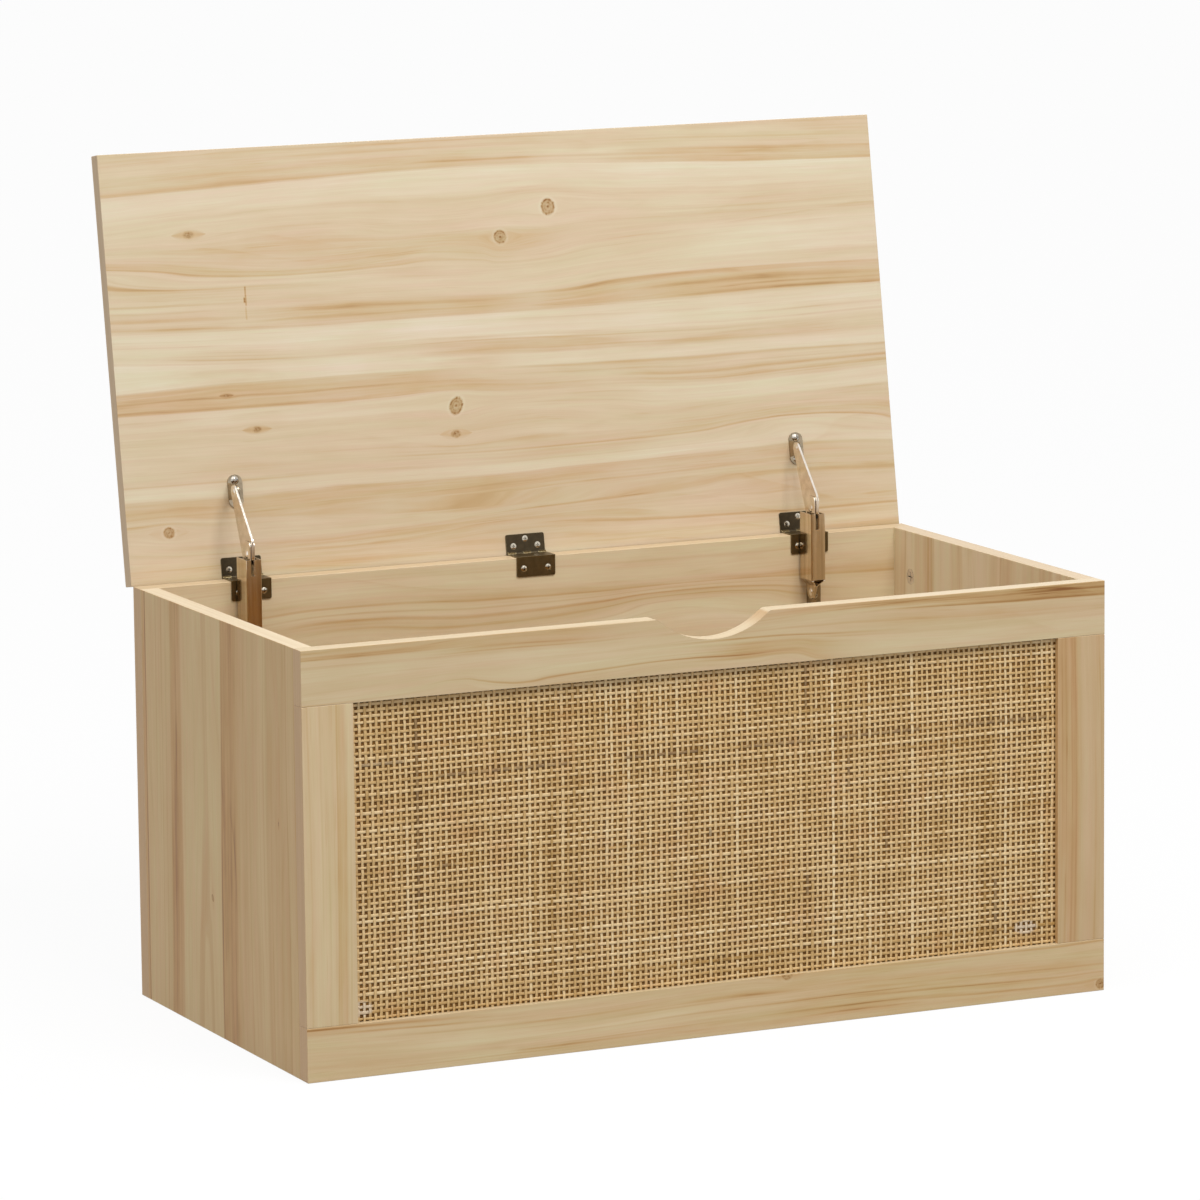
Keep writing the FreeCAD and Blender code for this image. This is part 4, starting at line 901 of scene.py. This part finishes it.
def caneMaterial(name, lengthwise, settings):
    material, tree, shader = newMaterial(name)
    spot = placeOf(tree)
    placeX = along(spot, (1, 0, 0))
    placeZ = along(spot, (0, 0, 1))
    run, rise = (placeX, placeZ) if lengthwise else (placeZ, placeX)

    def readMesh(attribute):
        return fieldOf("ShaderNodeAttribute", {}, "Fac", tree, attribute_name=attribute)

    def drawn(waves, shift, roughness):
        return noiseOf(vectorOf(run * waves[0], rise * waves[1], shift), 1.0, 2.0, roughness)

    fibres = drawn(settings["fibreWaves"], 4.0 if lengthwise else 9.0, 0.6)
    mottles = drawn(settings["mottleWaves"], 2.0, 0.5)
    patches = noiseOf(spot, settings["patchWaves"], 3.0, 0.6)
    tone = (readMesh("strandTone") + centred(fibres, settings["fibreTone"])
            + centred(mottles, settings["mottleTone"]) + centred(patches, settings["patchTone"]))
    colour = rampOf(calc("MULTIPLY", tone, 1.0, clamp=True),
                    [(share, tint(*shown)) for share, shown in settings["ramp"]])
    warm = remap(noiseOf(spot, settings["warmWaves"]), *settings["warmPatches"])
    colour = mixColours(warm, colour, settings["warm"])
    joint = readMesh("strandJoint") * remap(mottles, *settings["jointMottles"])
    colour = mixColours(joint, colour, settings["joint"])
    for dabX, dabZ, reachX, reachZ in settings["glueDabs"]:
        offX = (placeX - dabX * mm) / (reachX * mm)
        offZ = (placeZ - dabZ * mm) / (reachZ * mm)
        far = offX * offX + offZ * offZ + mottles * settings["glueMottles"]
        colour = mixColours(remap(far, *settings["glueFilm"]), colour, settings["glue"])
    feed(shader.inputs["Base Color"], colour)
    shader.inputs["Roughness"].default_value = settings["roughness"]
    bumpInto(shader, fibres, settings["bump"], settings["bumpDepth"] * mm)
    return material


cane = weaveCane("cane_webbing", caneWeave)
cane.data.materials.append(caneMaterial("caneStrandsAcross", True, caneFinish))
cane.data.materials.append(caneMaterial("caneStrandsUp", False, caneFinish))
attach(cane, "carcass")
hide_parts("cane_panel")
print("cane woven:", len(cane.data.polygons), "faces")


# hidden boards, dowels and hardware

# the same for every plain finish; ranges as in printRules
finishRules = {
    "mottles": (0.3, 0.7), "scratches": (0.25, 0.75), "mottleStretch": (1, 1, 1), "stretch": (1, 1, 1),
    "wearAndHighlightEdges": (0.9, 0.995, 1.0, 0.0), "wearAndHighlightPatches": (0.3, 0.6, 0.35, 1.0), "wearAndHighlightPolish": 0.12,
    "recessShade": (0.35, 0.85, 0.9, 0.0), "recessShadeColour": (46, 38, 28), "inwardTurn": (0.3, 0.7),
    "metallic": 0.0, "bump": 0.1, "bumpDepth": 0.1,
}


def plainMaterial(name, finish):
    # colour with mottles and fine scratches; metals show wear and a painted highlight along their edges
    settings = {**finishRules, **finish}
    material, tree, shader = newMaterial(name)
    spot = placeOf(tree)

    def drawn(stretch):
        return fieldOf("ShaderNodeVectorMath", {0: spot, 1: settings[stretch]}, operation="MULTIPLY")

    mottles = noiseOf(drawn("mottleStretch"), settings["mottleScale"], 3.0, 0.6)
    scratches = noiseOf(drawn("stretch"), settings["fineScale"], 3.0, 0.7)
    colour = mixColours(remap(mottles, *settings["mottles"]), settings["colour"], settings["second"])
    rough = remap(scratches, *settings["scratches"], *settings["roughness"])
    if "wearAndHighlight" in settings:
        # edges are where a rounded normal leaves the true one; there the colour turns lighter, partly as wear
        # and partly as a painted highlight
        rounded = fieldOf("ShaderNodeBevel", {"Radius": settings["wearAndHighlightReach"] * mm}, 0, tree, samples=6)
        match = along(rounded, fieldOf("ShaderNodeNewGeometry", {}, "Normal", tree))
        edgeWearAndHighlight = remap(match, *settings["wearAndHighlightEdges"]) * remap(mottles, *settings["wearAndHighlightPatches"])
        colour = mixColours(edgeWearAndHighlight, colour, settings["wearAndHighlight"])
        rough = rough - edgeWearAndHighlight * settings["wearAndHighlightPolish"]
    if "recess" in settings:
        # painted shade: the driver's cross and other hollows are darkened where ambient occlusion finds them
        depth = settings["recess"] * mm
        hollowShade = fieldOf("ShaderNodeAmbientOcclusion", {"Distance": depth}, "AO", tree, samples=8)
        colour = mixColours(remap(hollowShade, *settings["recessShade"]), colour, settings["recessShadeColour"])
    if "inward" in settings:
        # the side that faces into the chest has a colour of its own
        turned = along(placeOf(tree, "Normal"), (0, 1, 0))
        colour = mixColours(remap(turned, *settings["inwardTurn"]), colour, settings["inward"])
    feed(shader.inputs["Base Color"], colour)
    feed(shader.inputs["Roughness"], rough)
    shader.inputs["Metallic"].default_value = settings["metallic"]
    bumpInto(shader, scratches, settings["bump"], settings["bumpDepth"] * mm)
    return material


# colours, edge wear and painted edge highlight in mm, and how many mottles and scratches a metre holds
finishes = {
    "hingeBronze": {"colour": (74, 63, 45), "second": (64, 54, 38), "wearAndHighlight": (176, 158, 120), "wearAndHighlightReach": 0.5,
                    "metallic": 0.85, "roughness": (0.34, 0.5), "mottleScale": 160.0, "fineScale": 900.0,
                    "bump": 0.1},
    # painted light: a paler copy of the hinge bronze for the frame leaf, for what it reflects, with a bright
    # painted highlight on its edges
    "frameLeafBronzeLit": {"colour": (102, 84, 52), "second": (88, 72, 42), "wearAndHighlight": (214, 200, 160),
                        "wearAndHighlightReach": 0.6, "metallic": 0.8, "roughness": (0.3, 0.45), "mottleScale": 160.0,
                        "fineScale": 900.0, "bump": 0.1},
    # painted reflection: a darker nickel, so that the bright sky the domes mirror shows grey
    "domeNickelDimmed": {"colour": (196, 190, 180), "second": (168, 160, 148), "recess": 0.8, "metallic": 1.0,
                   "roughness": (0.12, 0.2), "mottleScale": 400.0, "fineScale": 1500.0},
    "hingeScrewSteel": {"colour": (214, 206, 190), "second": (176, 166, 148), "recess": 1.0, "metallic": 1.0,
                        "roughness": (0.12, 0.2), "mottleScale": 500.0, "fineScale": 1500.0},
    # painted reflection: a darker copy of the stay nickel, for the dim surroundings the brackets and bases
    # reflect
    "bracketNickelDimmed": {"colour": (172, 156, 132), "second": (144, 130, 108), "wearAndHighlight": (196, 184, 162),
                      "wearAndHighlightReach": 0.3, "metallic": 1.0, "roughness": (0.16, 0.26), "mottleScale": 120.0,
                      "fineScale": 700.0, "bump": 0.06},
    "stayNickel": {"colour": (240, 232, 220), "second": (222, 212, 198), "wearAndHighlight": (244, 240, 234),
                   "wearAndHighlightReach": 0.3, "metallic": 1.0, "roughness": (0.14, 0.24), "mottleScale": 120.0,
                   "fineScale": 700.0, "stretch": (1, 1, 0.08), "bump": 0.06},
    # painted reflection: a darker copy of the stay nickel, its colour drawn out into upright streaks like the
    # reflections on a folded sheet
    "caseNickelStreaked": {"colour": (228, 214, 192), "second": (196, 178, 150), "wearAndHighlight": (250, 246, 238),
                   "wearAndHighlightReach": 0.5, "metallic": 1.0, "roughness": (0.12, 0.22), "mottleScale": 190.0,
                   "mottleStretch": (1, 1, 0.03), "fineScale": 900.0, "stretch": (1, 1, 0.04), "bump": 0.05},
    "springSteel": {"colour": (150, 146, 140), "second": (112, 108, 102), "metallic": 1.0,
                    "roughness": (0.25, 0.4), "mottleScale": 300.0, "fineScale": 1200.0},
    "zincCam": {"colour": (226, 214, 196), "second": (196, 182, 162), "recess": 1.2, "metallic": 0.5,
                "roughness": (0.35, 0.5), "mottleScale": 260.0, "fineScale": 900.0, "bump": 0.3},
    "beechDowel": {"colour": (214, 178, 132), "second": (196, 156, 108), "roughness": (0.6, 0.75),
                   "mottleScale": 90.0, "fineScale": 1400.0, "bump": 0.3},
    "brownHardboard": {"colour": (136, 92, 28), "second": (110, 72, 20), "inward": (186, 144, 86),
                       "roughness": (0.7, 0.85), "mottleScale": 60.0, "fineScale": 800.0, "bump": 0.3},
}
finishMaterials = {name: plainMaterial(name, finish) for name, finish in finishes.items()}


def finishFor(node):
    if node in boardPrints or node == "cane_panel":
        return None
    if node == "cane_backing":
        return "brownHardboard"
    if node.endswith("dowels"):
        return "beechDowel"
    if node.startswith("cam_"):
        return "zincCam"
    if "spring" in node:
        return "springSteel"
    if "screws" in node:
        return "hingeScrewSteel" if "hinge" in node else "domeNickelDimmed"
    if "hinge" in node:
        return "frameLeafBronzeLit" if "frame_leaf" in node else "hingeBronze"
    if node.endswith("bracket") or node.endswith("stay_base"):
        return "bracketNickelDimmed"
    return "caseNickelStreaked" if node.endswith("stay_case") else "stayNickel"


for node, part in nodes.items():
    finish = finishFor(node)
    if finish:
        finishWith(part, finishMaterials[finish])
print("hardware finished")


# wound springs inside the stay cases

staySpring = {
    "turns": 11, "wire": 0.55, "pointsPerTurn": 20, "wireSides": 8,  # wire is its radius in mm
    "endPitch": 2.1,  # height of the first and the last turn, in radii of the wire
}


def windSpring(node, body, settings):
    low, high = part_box(node)
    wire = settings["wire"] * mm
    centre = Vector(((low[0] + high[0]) / 2, (low[1] + high[1]) / 2, 0))
    radius = (high[0] - low[0]) / 2 - wire
    bottom = low[2] + wire
    top = high[2] - wire
    endSteps = settings["pointsPerTurn"]
    steps = settings["turns"] * endSteps
    endHeight = settings["endPitch"] * wire
    path = []
    for step in range(steps + 1):
        angle = math.tau * step / endSteps
        # the first and last turn lie almost flat
        share = min(max((step - endSteps) / (steps - 2 * endSteps), 0.0), 1.0)
        closing = (min(step, endSteps) + max(step - steps + endSteps, 0)) / endSteps * endHeight
        height = bottom + closing + share * (top - bottom - 2 * endHeight)
        path.append(centre + Vector((radius * math.cos(angle), radius * math.sin(angle), height)))
    vertices, faces = [], []
    sides = settings["wireSides"]
    for index, point in enumerate(path):
        ahead = path[min(index + 1, len(path) - 1)] - path[max(index - 1, 0)]
        ahead.normalize()
        outward = (point - centre - Vector((0, 0, point.z))).normalized()
        upward = ahead.cross(outward)
        for side in range(sides):
            angle = math.tau * side / sides
            vertices.append(point + outward * (wire * math.cos(angle)) + upward * (wire * math.sin(angle)))
    for index in range(len(path) - 1):
        for side in range(sides):
            first = index * sides + side
            second = index * sides + (side + 1) % sides
            faces.append((first, first + sides, second + sides, second))
    faces.append(tuple(range(sides)))
    last = (len(path) - 1) * sides
    faces.append(tuple(last + side for side in reversed(range(sides))))
    mesh = smoothMesh(node + "_coil", vertices, faces)
    mesh.materials.append(finishMaterials["springSteel"])
    coil = addPiece(node + "_coil", mesh)
    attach(coil, body)
    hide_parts(node)


for side in ("left", "right"):
    windSpring(side + "_stay_spring", side + "_stay_swing", staySpring)
print("springs wound")


# camera, floor and light

cameraView = {
    "place": (-2.5515, -5.4009, 1.3470), "heading": 25.1259, "tilt": 9.2908, "roll": -0.597,
    "lens": 197.26, "sensor": 36.0, "farthest": 200.0,
}
camera = addPiece("camera", bpy.data.cameras.new("camera"))
camera.data.sensor_fit = "HORIZONTAL"
camera.data.sensor_width = cameraView["sensor"]
camera.data.lens = cameraView["lens"]
camera.data.clip_end = cameraView["farthest"]
camera.matrix_world = (
    Matrix.Translation(cameraView["place"])
    @ Matrix.Rotation(math.radians(-cameraView["heading"]), 4, "Z")
    @ Matrix.Rotation(math.radians(90 - cameraView["tilt"]), 4, "X")
    @ Matrix.Rotation(math.radians(cameraView["roll"]), 4, "Z"))
bpy.context.scene.camera = camera

studio = {
    "skyLevel": 0.5,
    "keyPower": 61.3, "keySize": 1.6, "keyPlace": (0.25, -1.75, 2.9), "keyAim": (0.0, 0.0, 0.35),
    "fillLevel": 0.8, "fillAngle": 60.0, "fillPlace": (-3.0, -3.0, 3.0), "fillFrom": (-0.75, -0.5, 1.2),
    "floorSeen": 0.95, "floorBounce": 0.36, "floorGlow": 0.92, "floorReach": 60.0, "floorDrop": 0.4,
    "floorRoughness": 0.9,
}


def hangLamp(name, kind, place, facing):
    lamp = bpy.data.lights.new(name, kind)
    holder = addPiece(name, lamp)
    holder.location = place
    holder.rotation_euler = Vector(facing).to_track_quat("Z", "Y").to_euler()
    holder.visible_camera = False
    return lamp


# a large softbox high in front, a little to the right, and a weak wide fill from the left
keyLamp = hangLamp("keySoftbox", "AREA", studio["keyPlace"],
                   Vector(studio["keyPlace"]) - Vector(studio["keyAim"]))
keyLamp.energy = studio["keyPower"]
keyLamp.size = studio["keySize"]
fillLamp = hangLamp("fillLamp", "SUN", studio["fillPlace"], studio["fillFrom"])
fillLamp.energy = studio["fillLevel"]
fillLamp.angle = math.radians(studio["fillAngle"])


def seenShare(tree, lighting, shown):
    # one value for the light that falls on things, another for what the camera, a mirror or glass sees
    seen, mirrored, through = (fieldOf("ShaderNodeLightPath", {}, f"Is {kind} Ray", tree)
                               for kind in ("Camera", "Glossy", "Transmission"))
    anySight = calc("MAXIMUM", calc("MAXIMUM", seen, mirrored), through)
    return remap(anySight, 0.0, 1.0, lighting, shown, smooth=False)


world = bpy.data.worlds.new("studioWhite")
world.use_nodes = True
bpy.context.scene.world = world
sky = world.node_tree.nodes["Background"]
sky.inputs["Color"].default_value = (1, 1, 1, 1)
feed(sky.inputs["Strength"], seenShare(world.node_tree, studio["skyLevel"], 1.0))

floorMesh = bpy.data.meshes.new("floor")
reach = studio["floorReach"]
corners = ((-reach, -reach), (reach, -reach), (reach, reach), (-reach, reach))
floorMesh.from_pydata([(x, y, -studio["floorDrop"] * mm) for x, y in corners], [], [(0, 1, 2, 3)])
floor = addPiece("floor", floorMesh)
floorMaterial, tree, shader = newMaterial("floorWhite")
# the floor looks white, but throws back no more light than a pale grey one
grey = seenShare(tree, studio["floorBounce"], studio["floorSeen"])
feed(shader.inputs["Base Color"], vectorOf(grey, grey, grey))
shader.inputs["Roughness"].default_value = studio["floorRoughness"]
shader.inputs["Specular IOR Level"].default_value = 0.0
glow = tree.nodes.new("ShaderNodeEmission")
mixer = newNode("ShaderNodeMixShader", {0: seenShare(tree, 0.0, studio["floorGlow"])})
tree.links.new(shader.outputs[0], mixer.inputs[1])
tree.links.new(glow.outputs[0], mixer.inputs[2])
tree.links.new(mixer.outputs[0], tree.nodes["Material Output"].inputs["Surface"])
floorMesh.materials.append(floorMaterial)
bpy.context.scene.view_settings.view_transform = "Standard"
print("camera, floor and light set")
